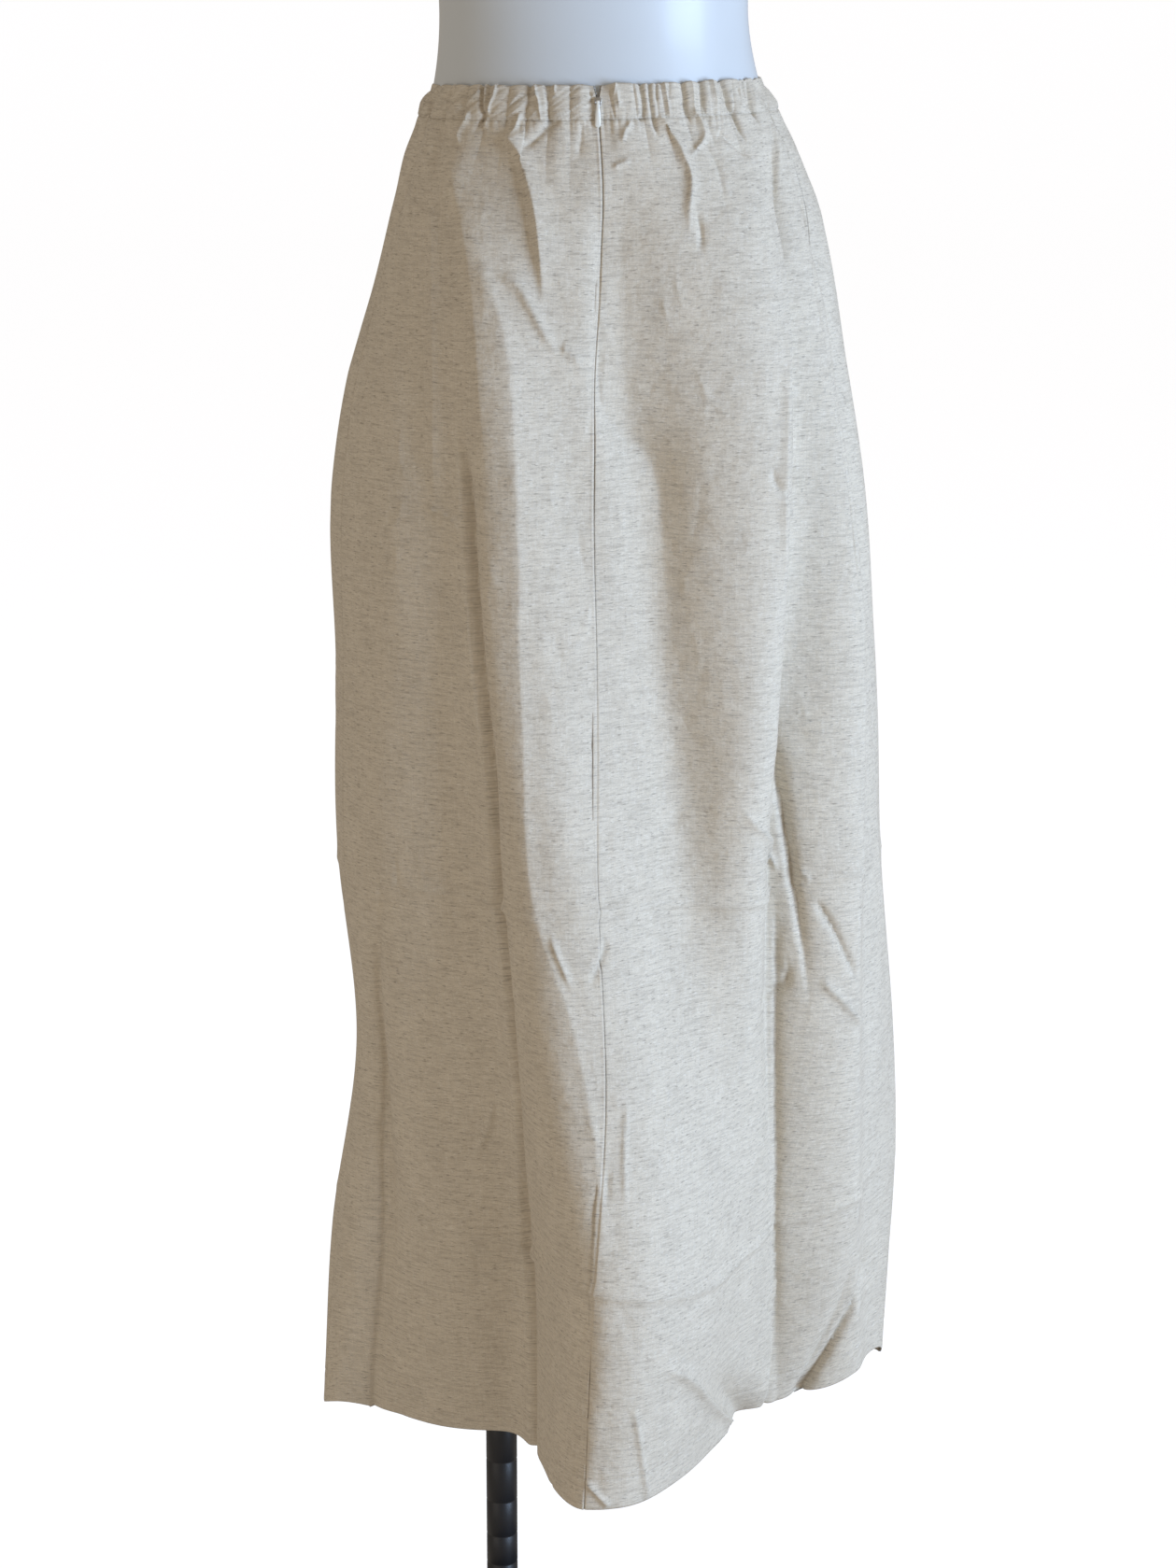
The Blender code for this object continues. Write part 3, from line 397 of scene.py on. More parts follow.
# large folds, each by stations in millimetres: drop, where it lies across (x), how far it stands
# out, and its spread to left and right
folds = {
    "mainRoll": {"side": "back", "power": 2.4, "stations": (
        (60, -95, 0, 40, 60), (180, -67, 15, 45, 38), (434, -45, 33, 45, 46), (620, -18, 54, 50, 64),
        (790, 8, 96, 50, 80), (870, 15, 118, 46, 80), (960, 6, 132, 40, 86), (1040, -8, 142, 32, 96))},
    "leftValley": {"side": "back", "power": 1.4, "stations": (
        (240, -98, 0, 30, 20), (434, -93.5, -6, 22, 24), (600, -76, -10, 24, 22), (800, -52, -12, 26, 18),
        (1040, -45, -8, 26, 14))},
    "centreValley": {"side": "back", "power": 2.0, "stations": (
        (40, 24, 0, 12, 18), (140, 27, -6, 14, 28), (220, 30, -11, 18, 32), (330, 46, -15, 24, 30),
        (560, 72, -9, 28, 24), (640, 78, 0, 30, 24))},
    "rightValley": {"side": "back", "power": 1.3, "stations": (
        (30, 128, -1, 8, 12), (152, 149, -10, 12, 18), (322, 148, -20, 15, 20), (540, 145, -32, 17, 21),
        (740, 145, -25, 17, 21), (890, 147, -16, 17, 21), (1040, 154, -9, 16, 20))},
    "rightRoll": {"side": "back", "power": 2.0, "stations": (
        (50, 110, 0, 36, 16), (150, 124, 16, 54, 22), (300, 132, 29, 56, 24), (440, 130, 26, 54, 24),
        (560, 129, 18, 48, 22), (740, 130, 6, 40, 20), (900, 138, 0, 40, 20))},
    "rightCorner": {"side": "back", "power": 2.0, "stations": (
        (160, 170, 0, 26, 12), (300, 186, 14, 30, 13), (434, 192, 18, 32, 14), (740, 195, 13, 34, 14),
        (1040, 208, 10, 34, 14))},
    "rightSideTuck": {"side": "back", "power": 1.4, "stations": (
        (60, 148, 0, 8, 12), (150, 179, -11, 10, 18), (300, 201, -17, 12, 18), (430, 214, 0, 12, 18))},
    "leftSideTuck": {"side": "back", "power": 1.4, "stations": (
        (20, -115, 0, 12, 8), (110, -150, -9, 18, 10), (210, -179, 0, 18, 10))},
    "leftFlat": {"side": "back", "power": 2.0, "stations": (
        (800, -150, 0, 50, 45), (1040, -150, -14, 50, 45))},
    "hemNotch": {"side": "back", "power": 1.4, "stations": (
        (960, 80, 0, 8, 10), (1040, 119, -24, 14, 22))},
    "leftHemTuck": {"side": "back", "power": 1.2, "stations": (
        (600, -165, 0, 10, 12), (700, -165, -9, 12, 14), (880, -159, -10, 14, 16), (1040, -174, 0, 12, 14))},
    "rightHemTuck": {"side": "back", "power": 1.2, "stations": (
        (880, 208, 0, 8, 10), (960, 195, -8, 10, 12), (1040, 171, -16, 12, 14))},
    "frontRollLeft": {"side": "front", "power": 2.0, "stations": (
        (140, -95, 0, 40, 40), (450, -105, 16, 42, 42), (1040, -125, 34, 46, 44))},
    "frontValleyLeft": {"side": "front", "power": 1.6, "stations": (
        (120, -42, 0, 26, 26), (450, -48, -13, 30, 30), (1040, -56, -22, 32, 32))},
    "frontRollCentre": {"side": "front", "power": 2.0, "stations": (
        (200, 8, 0, 40, 40), (600, 12, 18, 44, 46), (1040, 18, 36, 48, 50))},
    "frontValleyRight": {"side": "front", "power": 1.6, "stations": (
        (80, 72, 0, 24, 24), (400, 86, -15, 28, 28), (1040, 98, -26, 34, 34))},
    "frontRollRight": {"side": "front", "power": 2.0, "stations": (
        (160, 126, 0, 36, 36), (560, 148, 18, 40, 40), (1040, 170, 26, 42, 42))},
}

gathers = {
    "right": (0.0, 14.3, 21.5, 28.5, 36.0, 45.7, 58.0, 72.0),           # degrees, valley to valley
    "left": (0.0, 9.0, 15.8, 23.3, 30.5, 38.5, 48.7, 58.5, 72.0),
    "front": 18,
    "frontUnevenness": 1.6,
    "slope": 0.19,              # a ridge's height for its width
    "limit": 0.0030,
    "flatTop": 0.55,            # 1 is round, and less is flatter between sharper valleys
    "roundBelow": 0.03,         # the drop below the casing over which it gets round
    "flatByZip": (1.6, 6.0),    # degrees from the zip
    "fade": 0.045,
    "fadeUnevenness": 0.5,
}

sideSeam = ((0.0, 72.0), (0.40, 73.5), (0.70, 80.0), (1.04, 84.0))      # drop and angle
backSeam = ((0.0, 0.0), (0.05, 0.0), (0.20, -1.0), (0.40, -2.6), (0.59, -4.2), (0.78, -6.6),
            (1.04, -8.2))


def seamAngle(rows, drop):
    return curveThrough(np.array(rows)[:, 0], np.array(rows)[:, 1], drop)


sectionTable = dict(zip(sectionColumns, (np.array(sections) / np.array(sectionUnits)).T))


def section(name, drop):
    return curveThrough(sectionTable["drop"], sectionTable[name], drop)


def gatherStops(g):
    # Angles of the valleys between gathers, right round from the centre back
    left = [360.0 - angle for angle in reversed(g["left"])]
    start = g["right"][-1]
    step = (left[0] - start) / g["front"]
    front = [start + step * i + g["frontUnevenness"] * math.sin(2.3 * i) for i in range(1, g["front"])]
    return np.array(list(g["right"]) + front + left)


stops = gatherStops(gathers)


def gatherRidge(angle, drop):
    # height |sin(pi u)| ^ flatTop between two valleys, fading below the casing
    turned = np.mod(angle, 360.0)
    count = np.interp(turned, stops, np.arange(len(stops), dtype=float))
    number = np.minimum(np.floor(count), len(stops) - 2).astype(int)
    width = np.radians(stops[number + 1] - stops[number]) * section("back", drop)
    height = np.minimum(gathers["slope"] * width, gathers["limit"])
    fade = gathers["fade"] * (1.0 + gathers["fadeUnevenness"] * np.sin(3.1 * number))
    fading = 1.0 - ease(0.0, 1.0, (drop - skirt["casing"]) / fade)
    fromZip = np.minimum(turned, 360.0 - turned)
    rounding = ease(skirt["casing"], skirt["casing"] + gathers["roundBelow"], drop)
    power = gathers["flatTop"] + (1.0 - gathers["flatTop"]) * rounding
    ridge = height * np.abs(np.sin(math.pi * count)) ** power
    return ridge * fading * ease(*gathers["flatByZip"], fromZip)


def foldHeight(fold, angle, drop):
    # height exp(-|s / spread| ^ power), s the distance round the section from the fold's middle
    places, *columns = np.array(fold["stations"]).T / 1000.0
    x, height, left, right = (curveThrough(places, values, drop) for values in columns)
    reach = ease(places[0] - skirt["foldRise"], places[0], drop)
    halfWidth = section("halfWidth", drop)
    depth = section(fold["side"], drop)
    turn = np.radians(section("turn", drop))
    swing = np.arctan2(depth * np.sin(turn), halfWidth * np.cos(turn))
    reached = np.arcsin(np.clip((x - section("centreX", drop))
                                / np.hypot(halfWidth * np.cos(turn), depth * np.sin(turn)), -0.995, 0.995))
    middle, sign = (reached - swing, 1.0) if fold["side"] == "back" else (math.pi - reached - swing, -1.0)
    away = np.mod(np.radians(angle) - middle + math.pi, tau) - math.pi
    distance = sign * away * np.hypot(halfWidth * np.cos(middle), depth * np.sin(middle))
    spread = np.where(distance < 0.0, left, right)
    return height * reach * np.exp(-np.abs(distance / spread) ** fold["power"])


def skirtPoint(angle, drop, gathered=True):
    # An oval section (a sin t, -b cos t), moved out along its normal by folds and gathers, turned
    # and shifted; z = waist - drop + lean x + the hem's lift. Angle (rows, columns), drop (rows, 1)
    turned = np.radians(angle)
    halfWidth = section("halfWidth", drop)
    depth = np.where(np.cos(turned) > 0.0, section("back", drop), section("front", drop))
    x = halfWidth * np.sin(turned)
    y = -depth * np.cos(turned)
    outX = np.sin(turned) / halfWidth
    outY = -np.cos(turned) / depth
    length = np.hypot(outX, outY)
    out = gatherRidge(angle, drop) if gathered else 0.0
    for fold in folds.values():
        out = out + foldHeight(fold, angle, drop)
    x = x + out * outX / length
    y = y + out * outY / length
    turn = np.radians(section("turn", drop))
    worldX = section("centreX", drop) + x * np.cos(turn) - y * np.sin(turn)
    worldY = x * np.sin(turn) + y * np.cos(turn)
    lift = 0.0
    for middle, height, spread in hemLifts:
        away = np.mod(angle - middle + 180.0, 360.0) - 180.0
        lift = lift + height * np.exp(-(away / spread) ** 2)
    lift = lift * ease(skirt["hemLiftStart"], skirt["length"], drop)
    worldZ = skirt["waistTop"] - drop + skirt["lean"] * worldX + lift
    return np.stack(np.broadcast_arrays(worldX, worldY, worldZ), axis=-1)


def inMetres(rows):
    # Creases with their heights, spreads and paths in metres
    return [(height / 1000.0, left / 1000.0, right / 1000.0, start, end, np.array(path) / 1000.0)
            for height, left, right, start, end, path in rows]


# Small creases listed one by one, in millimetres: height out of the cloth (a valley is negative), how
# far each spreads to the left and right of its path, the share of it over which it starts and ends,
# and its path as pairs of drop and across. Left and right are as one looks down a path.
backCreases = inMetres((
    # tucks of the casing that run on into the panels
    (-2.2, 1.1, 1.9, 0.0, 0.3, ((0, -135), (9, -139), (21, -140))),
    (-3.5, 1.4, 2.3, 0.1, 0.3, ((8, -148), (22, -145), (30, -150), (46, -150))),
    (2.1, 1.2, 1.6, 0.0, 0.2, ((0, -113), (4, -118), (17, -120), (23, -114))),
    (3.6, 3.0, 1.6, 0.1, 0.3, ((18, -96), (26, -100), (34, -106), (44, -106))),
    (-3.7, 1.1, 2.1, 0.0, 0.3, ((0, -86), (16, -87), (22, -85), (36, -97))),
    (2.1, 1.1, 1.4, 0.0, 0.2, ((0, -83), (14, -84), (24, -83), (34, -87))),
    (2.3, 1.4, 1.1, 0.0, 0.2, ((1, -74), (7, -76), (15, -80), (22, -81))),
    (2.4, 1.8, 1.4, 0.1, 0.3, ((19, -56), (29, -60), (37, -65))),
    (-2.5, 1.1, 1.8, 0.0, 0.3, ((0, -49), (8, -49), (16, -52), (25, -54))),
    (2.1, 1.1, 1.2, 0.0, 0.3, ((0, -45), (6, -44), (13, -42), (29, -41))),
    (-2.5, 1.1, 1.9, 0.0, 0.3, ((0, -37), (9, -36), (23, -36), (28, -36))),
    (-3.2, 2.3, 2.8, 0.15, 0.2, ((24, -26), (27, -34), (31, -39), (36, -45), (41, -51), (45, -58))),
    (1.8, 0.9, 0.9, 0.0, 0.3, ((0, -30), (6, -31))),
    (-1.5, 0.9, 1.1, 0.1, 0.2, ((3, -6), (8, -5), (12, -4))),
    (-2.0, 2.8, 3.9, 0.2, 0.3, ((25, -11), (34, -13), (54, -17))),
    (1.5, 0.9, 0.9, 0.0, 0.3, ((0, 13), (9, 11))),
    (-3.0, 1.9, 1.6, 0.0, 0.2, ((0, 31), (20, 32), (26, 28))),
    (-3.7, 1.1, 1.9, 0.0, 0.3, ((0, 37), (10, 37), (21, 38), (29, 39), (40, 43))),
    (-1.5, 0.8, 1.1, 0.0, 0.3, ((0, 42.5), (14, 41.5))),
    (5.1, 3.0, 3.5, 0.1, 0.3, ((21, 42), (34, 51), (45, 57), (54, 60), (68, 64), (93, 61), (105, 63))),
    (-3.0, 1.1, 1.8, 0.0, 0.3, ((0, 62), (10, 63), (19, 63), (34, 68))),
    (3.9, 2.1, 1.8, 0.2, 0.2, ((16, 68), (26, 73), (36, 76), (44, 73), (53, 62))),
    (-3.7, 1.1, 1.9, 0.0, 0.4, ((0, 77), (10, 77), (20, 76), (36, 79))),
    (-5.2, 1.1, 1.9, 0.0, 0.4, ((0, 94), (10, 97), (20, 99), (28, 104), (38, 108), (50, 117))),
    (-5.0, 1.1, 1.8, 0.0, 0.4, ((0, 122), (20, 122), (26, 125), (37, 132))),
    (-5.2, 1.1, 1.8, 0.0, 0.3, ((0, 139), (11, 141), (21, 142), (28, 146), (36, 153), (62, 160))),
    (3.3, 1.2, 1.4, 0.1, 0.3, ((22, 138), (32, 143), (47, 150), (62, 155))),
    (-3.0, 2.3, 2.6, 0.2, 0.3, ((36, 87), (38, 91), (45, 102), (51, 110), (56, 125))),
    (2.7, 1.8, 1.8, 0.2, 0.4, ((25, 23), (33, 18), (42, 15))),
    # the sharp crests that come down from the casing
    (7.2, 2.6, 13.0, 0.1, 0.3, ((32, -68), (47, -60), (63, -55), (91, -49), (124, -46), (160, -43))),
    (4.6, 3.0, 4.0, 0.2, 0.3, ((129, -79), (138, -63), (150, -55), (163, -48), (176, -40), (191, -30))),
    (3.4, 2.0, 3.0, 0.2, 0.4, ((181, -31), (187, -22), (196, -13))),
    (-3.0, 2.1, 2.6, 0.2, 0.4, ((90, 67), (105, 70), (121, 68))),
    (2.4, 1.9, 1.9, 0.3, 0.3, ((59, 7), (55, 14), (53, 22))),
    (-2.5, 2.6, 3.5, 0.1, 0.6, ((28, -120), (50, -132), (85, -140))),
    (-2.2, 2.6, 3.5, 0.1, 0.6, ((40, 76), (60, 86), (92, 89))),
    (3.6, 3.6, 5.0, 0.1, 0.2, ((30, 144), (77, 147), (146, 145), (205, 140), (265, 139), (325, 139),
        (383, 142))),
    # the right corner's edge, and the dark groove beyond it
    (-10.0, 1.4, 7.0, 0.1, 0.25, ((39, 158), (90, 180), (151, 198), (213, 219), (275, 230), (346, 235),
        (406, 237))),
    # long soft lines of the large folds
    (2.4, 10.6, 6.2, 0.2, 0.1, ((67, -107), (115, -90), (164, -73), (218, -65), (331, -65), (398, -70),
        (500, -72), (569, -70), (629, -58), (669, -49), (769, -36), (868, -27))),
    (-11.0, 2.4, 8.0, 0.15, 0.0, ((219, -112), (273, -109), (335, -110), (404, -110), (490, -109),
        (561, -117), (645, -124), (736, -140), (842, -163), (948, -164), (1045, -164))),
    (3.6, 4.0, 7.0, 0.3, 0.3, ((29, -143), (97, -134), (169, -134), (222, -135), (269, -139), (310, -143))),
    (-9.5, 1.8, 6.0, 0.1, 0.2, ((39, 138), (90, 146), (147, 152), (224, 149), (310, 149), (377, 152),
        (448, 159), (524, 169), (584, 174), (638, 176), (704, 182))),
    (-4.0, 1.4, 4.4, 0.25, 0.0, ((590, 163), (634, 157), (677, 154), (722, 156), (783, 168), (845, 185),
        (912, 197), (981, 200), (1045, 207))),
    (-8.0, 10.0, 21.0, 0.12, 0.4, ((60, -1), (136, -1), (202, 0), (236, 9), (270, 38), (338, 46), (408, 48))),
    (5.0, 8.0, 30.0, 0.2, 0.3, ((30, -118), (67, -112), (115, -100), (164, -92), (218, -88), (300, -85))),
    (-2.4, 3.5, 6.2, 0.2, 0.2, ((356, 268), (378, 274), (419, 267), (477, 277))),
    # where the skirt was folded to be put away
    (1.5, 2.3, 2.3, 0.3, 0.3, ((165, -133), (164, -79))),
    (1.5, 2.3, 2.3, 0.3, 0.3, ((154, 85), (154, 152))),
    (3.8, 1.7, 2.4, 0.2, 0.3, ((297, -152), (304, -128), (312, -116))),
    (3.8, 2.4, 6.0, 0.22, 0.22, ((590, -340), (588, -200), (592, -110), (590, 0), (601, 124), (588, 230),
        (590, 340))),
    (3.8, 2.4, 6.0, 0.22, 0.22, ((855, -340), (858, -240), (870, -149), (862, -40), (880, 80), (878, 150),
        (860, 260), (853, 340))),
    # the left tuck and the wrinkles of the lower half
    (-3.5, 2.6, 5.3, 0.1, 0.0, ((592, -233), (610, -235), (669, -268), (706, -281), (783, -290),
        (864, -294), (932, -300), (1040, -313))),
    (3.0, 1.9, 1.8, 0.3, 0.3, ((749, -172), (764, -178), (780, -185), (806, -202))),
    (-3.5, 2.0, 2.5, 0.3, 0.2, ((267, 127), (284, 132), (297, 146), (307, 156))),
    (-3.5, 2.0, 2.5, 0.3, 0.2, ((272, 181), (287, 181), (297, 177), (305, 173))),
    (3.5, 1.9, 1.9, 0.2, 0.2, ((305, 152), (308, 160), (307, 168))),
    (-4.7, 2.5, 3.2, 0.2, 0.3, ((605, 190), (626, 200), (652, 211), (680, 225))),
    (4.3, 2.5, 2.0, 0.2, 0.3, ((669, 189), (682, 203), (700, 219), (720, 238))),
    (4.3, 2.8, 2.0, 0.3, 0.2, ((522, 100), (543, 120), (570, 158), (585, 166))),
    (-4.7, 2.5, 3.2, 0.3, 0.3, ((652, 166), (673, 161), (684, 137), (693, 121))),
    (3.4, 1.9, 1.8, 0.2, 0.3, ((583, 180), (586, 186), (589, 191))),
    (5.9, 5.3, 3.5, 0.3, 0.0, ((923, 16), (936, 37), (953, 59), (979, 85), (1007, 118), (1030, 148))),
    (-7.8, 4.4, 5.3, 0.3, 0.0, ((929, 295), (942, 288), (957, 278), (983, 262), (1015, 249), (1040, 241))),
    (3.4, 2.0, 1.8, 0.2, 0.3, ((602, -58), (626, -51), (642, -45))),
    (-3.0, 2.0, 2.0, 0.2, 0.3, ((607, -16), (620, -20), (643, -35))),
    (2.5, 1.9, 1.8, 0.3, 0.3, ((718, -12), (757, -16), (803, -15))),
    (-2.5, 1.9, 1.9, 0.3, 0.3, ((769, -28), (796, -29))),
    (3.0, 2.0, 1.9, 0.2, 0.0, ((948, -6), (998, 2), (1037, 10))),
    (3.0, 1.9, 1.9, 0.2, 0.0, ((1014, -41), (1026, -31), (1036, -23))),
))

# on the front across is measured from the centre front
frontCreases = inMetres((
    (3.9, 6.2, 2.3, 0.1, 0.4, ((28, -70), (50, -62), (80, -55), (125, -52), (165, -50))),
    (3.6, 2.6, 2.0, 0.1, 0.4, ((28, 30), (45, 36), (70, 39), (105, 36))),
    (4.9, 2.2, 4.7, 0.1, 0.4, ((28, 95), (52, 86), (85, 80), (130, 78))),
    (-2.6, 2.3, 2.8, 0.2, 0.3, ((44, -20), (36, -8), (26, 6))),
    (-2.6, 2.0, 2.5, 0.0, 0.5, ((4, -110), (24, -113), (46, -122))),
    (-2.6, 2.0, 2.5, 0.0, 0.5, ((4, 64), (24, 64), (44, 70))),
    (-2.2, 2.3, 3.1, 0.1, 0.6, ((28, 130), (54, 139), (92, 146))),
    (2.1, 3.2, 2.6, 0.2, 0.3, ((150, 58), (165, 44), (183, 34), (205, 28))),
    (2.4, 8.8, 6.2, 0.2, 0.1, ((120, 110), (300, 118), (560, 128), (860, 140))),
    (-3.0, 5.3, 7.9, 0.2, 0.0, ((200, 48), (420, 56), (700, 64), (1030, 72))),
    (-3.0, 7.0, 5.3, 0.2, 0.0, ((180, -86), (420, -96), (700, -106), (1030, -116))),
    (2.1, 6.2, 7.9, 0.2, 0.1, ((260, -16), (520, -18), (860, -24))),
    (2.6, 2.4, 6.0, 0.22, 0.22, ((590, -400), (592, -220), (586, -60), (594, 100), (590, 240), (590, 400))),
    (2.6, 2.4, 6.0, 0.22, 0.22, ((853, -420), (862, -200), (856, 0), (866, 180), (855, 420))),
    (3.8, 1.7, 2.4, 0.3, 0.3, ((300, 60), (306, 100), (303, 150))),
    (3.9, 2.5, 1.9, 0.2, 0.3, ((602, 176), (634, 192), (672, 214))),
    (-3.9, 2.5, 2.8, 0.2, 0.3, ((540, -150), (566, -176), (588, -190))),
    (3.4, 2.2, 1.9, 0.2, 0.3, ((612, -30), (640, -18), (664, -16))),
    (-3.9, 2.5, 2.5, 0.2, 0.3, ((700, 10), (722, -14), (760, -30))),
    (3.4, 1.9, 1.9, 0.3, 0.2, ((800, -210), (826, -196), (852, -190))),
    (5.2, 3.2, 2.5, 0.3, 0.0, ((930, 170), (962, 200), (1000, 224), (1036, 240))),
    (-5.6, 2.8, 3.2, 0.3, 0.0, ((935, -270), (972, -256), (1036, -240))),
    (3.0, 2.0, 1.9, 0.2, 0.0, ((950, 20), (1000, 10), (1036, 12))),
))

creaseShape = {"power": 1.35, "reach": 3.0}     # past reach spreads it is left out

smallCreases = {            # faint ones, scattered over each panel
    "count": 210,
    "drop": (0.035, 1.03),
    "height": (0.00025, 0.00090),
    "length": (0.014, 0.070),
    "spread": (0.0018, 0.0052),
    "lean": 0.55,           # how far they vary from upright, in radians
    "level": 4,             # one in so many lies level
    "levelLean": 0.3,
    "bend": 0.12,
    "fade": 0.4,
}

unevenness = {              # the cloth's slow one, a sum of waves
    "height": 0.0011,
    "evened": 2.2,          # what the sum is divided by
    "sway": (1.3, 9.0),     # how far and how often they sway down the cloth
    "starts": (0.05, 0.16),
    # radians for each metre across and down, and phase
    "waves": ((31.0, 4.0, 0.3), (52.0, -7.0, 1.9), (23.0, 11.0, 4.1), (74.0, 9.0, 2.2),
              (41.0, -15.0, 5.3)),
}

puckers = {                 # along a row of stitches
    "pitch": 0.0052,
    "height": 0.00055,
    "reach": 0.0090,
    "uneven": ((1.4, 57.0, 0.0), (0.9, 131.0, 1.0)),        # how far, how often and phase
    "sizes": (0.55, 0.45, 83.0, 0.6),                       # middle, how far, how often and phase
}


def pathDistance(path, across, drop):
    # Distance from a smooth path through pairs of drop and across, + to its right, and how far
    # along it the nearest place is, from 0 to 1
    corners = np.array(path)
    places = np.arange(len(corners), dtype=float)
    steps = np.linspace(0.0, places[-1], 4 * len(corners) - 3)
    line = np.stack([curveThrough(places, corners[:, k], steps) for k in (1, 0)], axis=1)
    startX, startY = line[:-1].T[..., None, None]
    stepX, stepY = np.diff(line, axis=0).T[..., None, None]
    share = ((across - startX) * stepX + (drop - startY) * stepY) / (stepX ** 2 + stepY ** 2)
    share = np.clip(share, 0.0, 1.0)
    offX = across - startX - share * stepX
    offY = drop - startY - share * stepY
    away = np.hypot(offX, offY) * np.sign(stepY * offX - stepX * offY)
    nearest = np.argmin(np.abs(away), axis=0)[None]
    along = (np.take_along_axis(share, nearest, 0)[0] + nearest[0]) / len(stepX)
    return np.take_along_axis(away, nearest, 0)[0], along


def creaseHeight(creases, across, drop):
    # Sum of height exp(-|t / spread| ^ power) over the creases, t the distance from each one's path
    out = np.zeros(across.shape)
    for crease in creases:
        height, left, right, start, end, path = crease
        reach = creaseShape["reach"] * max(left, right)
        lowest = min(place[0] for place in path) - reach
        highest = max(place[0] for place in path) + reach
        rows = slice(*np.searchsorted(drop[:, 0], (lowest, highest)))
        if rows.start == rows.stop:
            continue
        away, along = pathDistance(path, across[rows], drop[rows])
        spread = np.where(away < 0.0, left, right)
        fading = ease(-1e-6, start + 1e-5, along) * ease(-1e-6, end + 1e-5, 1.0 - along)
        out[rows] += height * fading * np.exp(-np.abs(away / spread) ** creaseShape["power"])
    return out


def scatteredCreases(c, low, high, seed):
    # Short bent creases at seeded places between two across values, most of them near upright
    pick = np.random.default_rng(seed)
    rows = []
    for number in range(c["count"]):
        x, y = pick.uniform(low, high), pick.uniform(*c["drop"])
        length = pick.uniform(*c["length"])
        if number % c["level"]:
            lean = pick.normal(0.0, c["lean"])
        else:
            lean = math.pi / 2 + pick.normal(0.0, c["levelLean"])
        endX, endY = x + length * math.sin(lean), y + length * math.cos(lean)
        bend = pick.normal(0.0, c["bend"]) * length
        middle = ((y + endY) / 2 - bend * math.sin(lean), (x + endX) / 2 + bend * math.cos(lean))
        height = pick.uniform(*c["height"]) * (1.0 if number % 2 else -1.0)
        rows.append((height, pick.uniform(*c["spread"]), pick.uniform(*c["spread"]), c["fade"], c["fade"],
                     ((y, x), middle, (endY, endX))))
    return rows


def slowUnevenness(across, drop):
    # height / evened times a sum of sines over the cloth, starting a little below the casing
    much, often = unevenness["sway"]
    total = sum(np.sin(x * across + y * drop + phase + much * np.sin(often * drop + phase))
                for x, y, phase in unevenness["waves"])
    return unevenness["height"] * total / unevenness["evened"] * ease(*unevenness["starts"], drop)


def puckerHeight(across, distance):
    # height |sin| of an uneven count along the seam, fading over reach on both sides of it
    phase = math.pi * across / puckers["pitch"]
    for much, often, shift in puckers["uneven"]:
        phase = phase + much * np.sin(often * across + shift)
    middle, much, often, shift = puckers["sizes"]
    size = middle + much * np.sin(often * across + shift)
    fading = np.exp(-(distance / puckers["reach"]) ** 2)
    return puckers["height"] * size * (np.abs(np.sin(phase)) - 0.5) * fading


# what the panels share: for an edge that lies over or under its neighbour, its columns' distances
# from the seam and how far it is pushed in, and then the joins with the casing and the hem
seamEdges = {
    "over": {"steps": (0.00015, 0.0005, 0.0009, 0.0015, 0.0023, 0.0034),
             "depth": 0.0004, "width": 0.0009, "ridge": 0.00055},
    "under": {"steps": (-0.0040, -0.0020, -0.0010, -0.0004, 0.0001, 0.0005, 0.0009, 0.0014, 0.0022, 0.0034),
              "depth": 0.0016, "width": 0.0011, "ridge": 0.00010},
    "closed": 0.45,             # how much flatter a seam is below the zip
    "closing": (0.290, 0.310),  # the drops between which it gets flatter
    "meetingReach": 0.0130,     # creases run out this near a side seam, so that the panels meet
    "closeRows": (0.060, 1.000),        # rows are close together above and below these drops
    "tuckIn": 0.0030,           # how far the panels run up behind the casing
    "tuckDepth": 0.0010,
    "tuckEdge": (-0.0006, 0.0012),
    "puckers": (1.6, 0.7),      # at the casing and at the hem
    "groove": (0.00050, 0.0011),        # depth and width of the hem's row of stitches
    "edge": (0.0004, 0.0016),   # depth and height of the round at the very edge
    "shifts": (0.7, 0.31, 0.37),        # keep the panels, the hem and the inside from being alike
}


def panelDrops(above, middle, hem):
    # Numbers of rows close together under the casing, even between, and close at the hem
    top = skirt["casing"] - seamEdges["tuckIn"]
    high, low = seamEdges["closeRows"]
    return np.concatenate([np.linspace(top, high, above)[:-1], np.linspace(high, low, middle)[:-1],
                           np.linspace(low, skirt["length"], hem)])


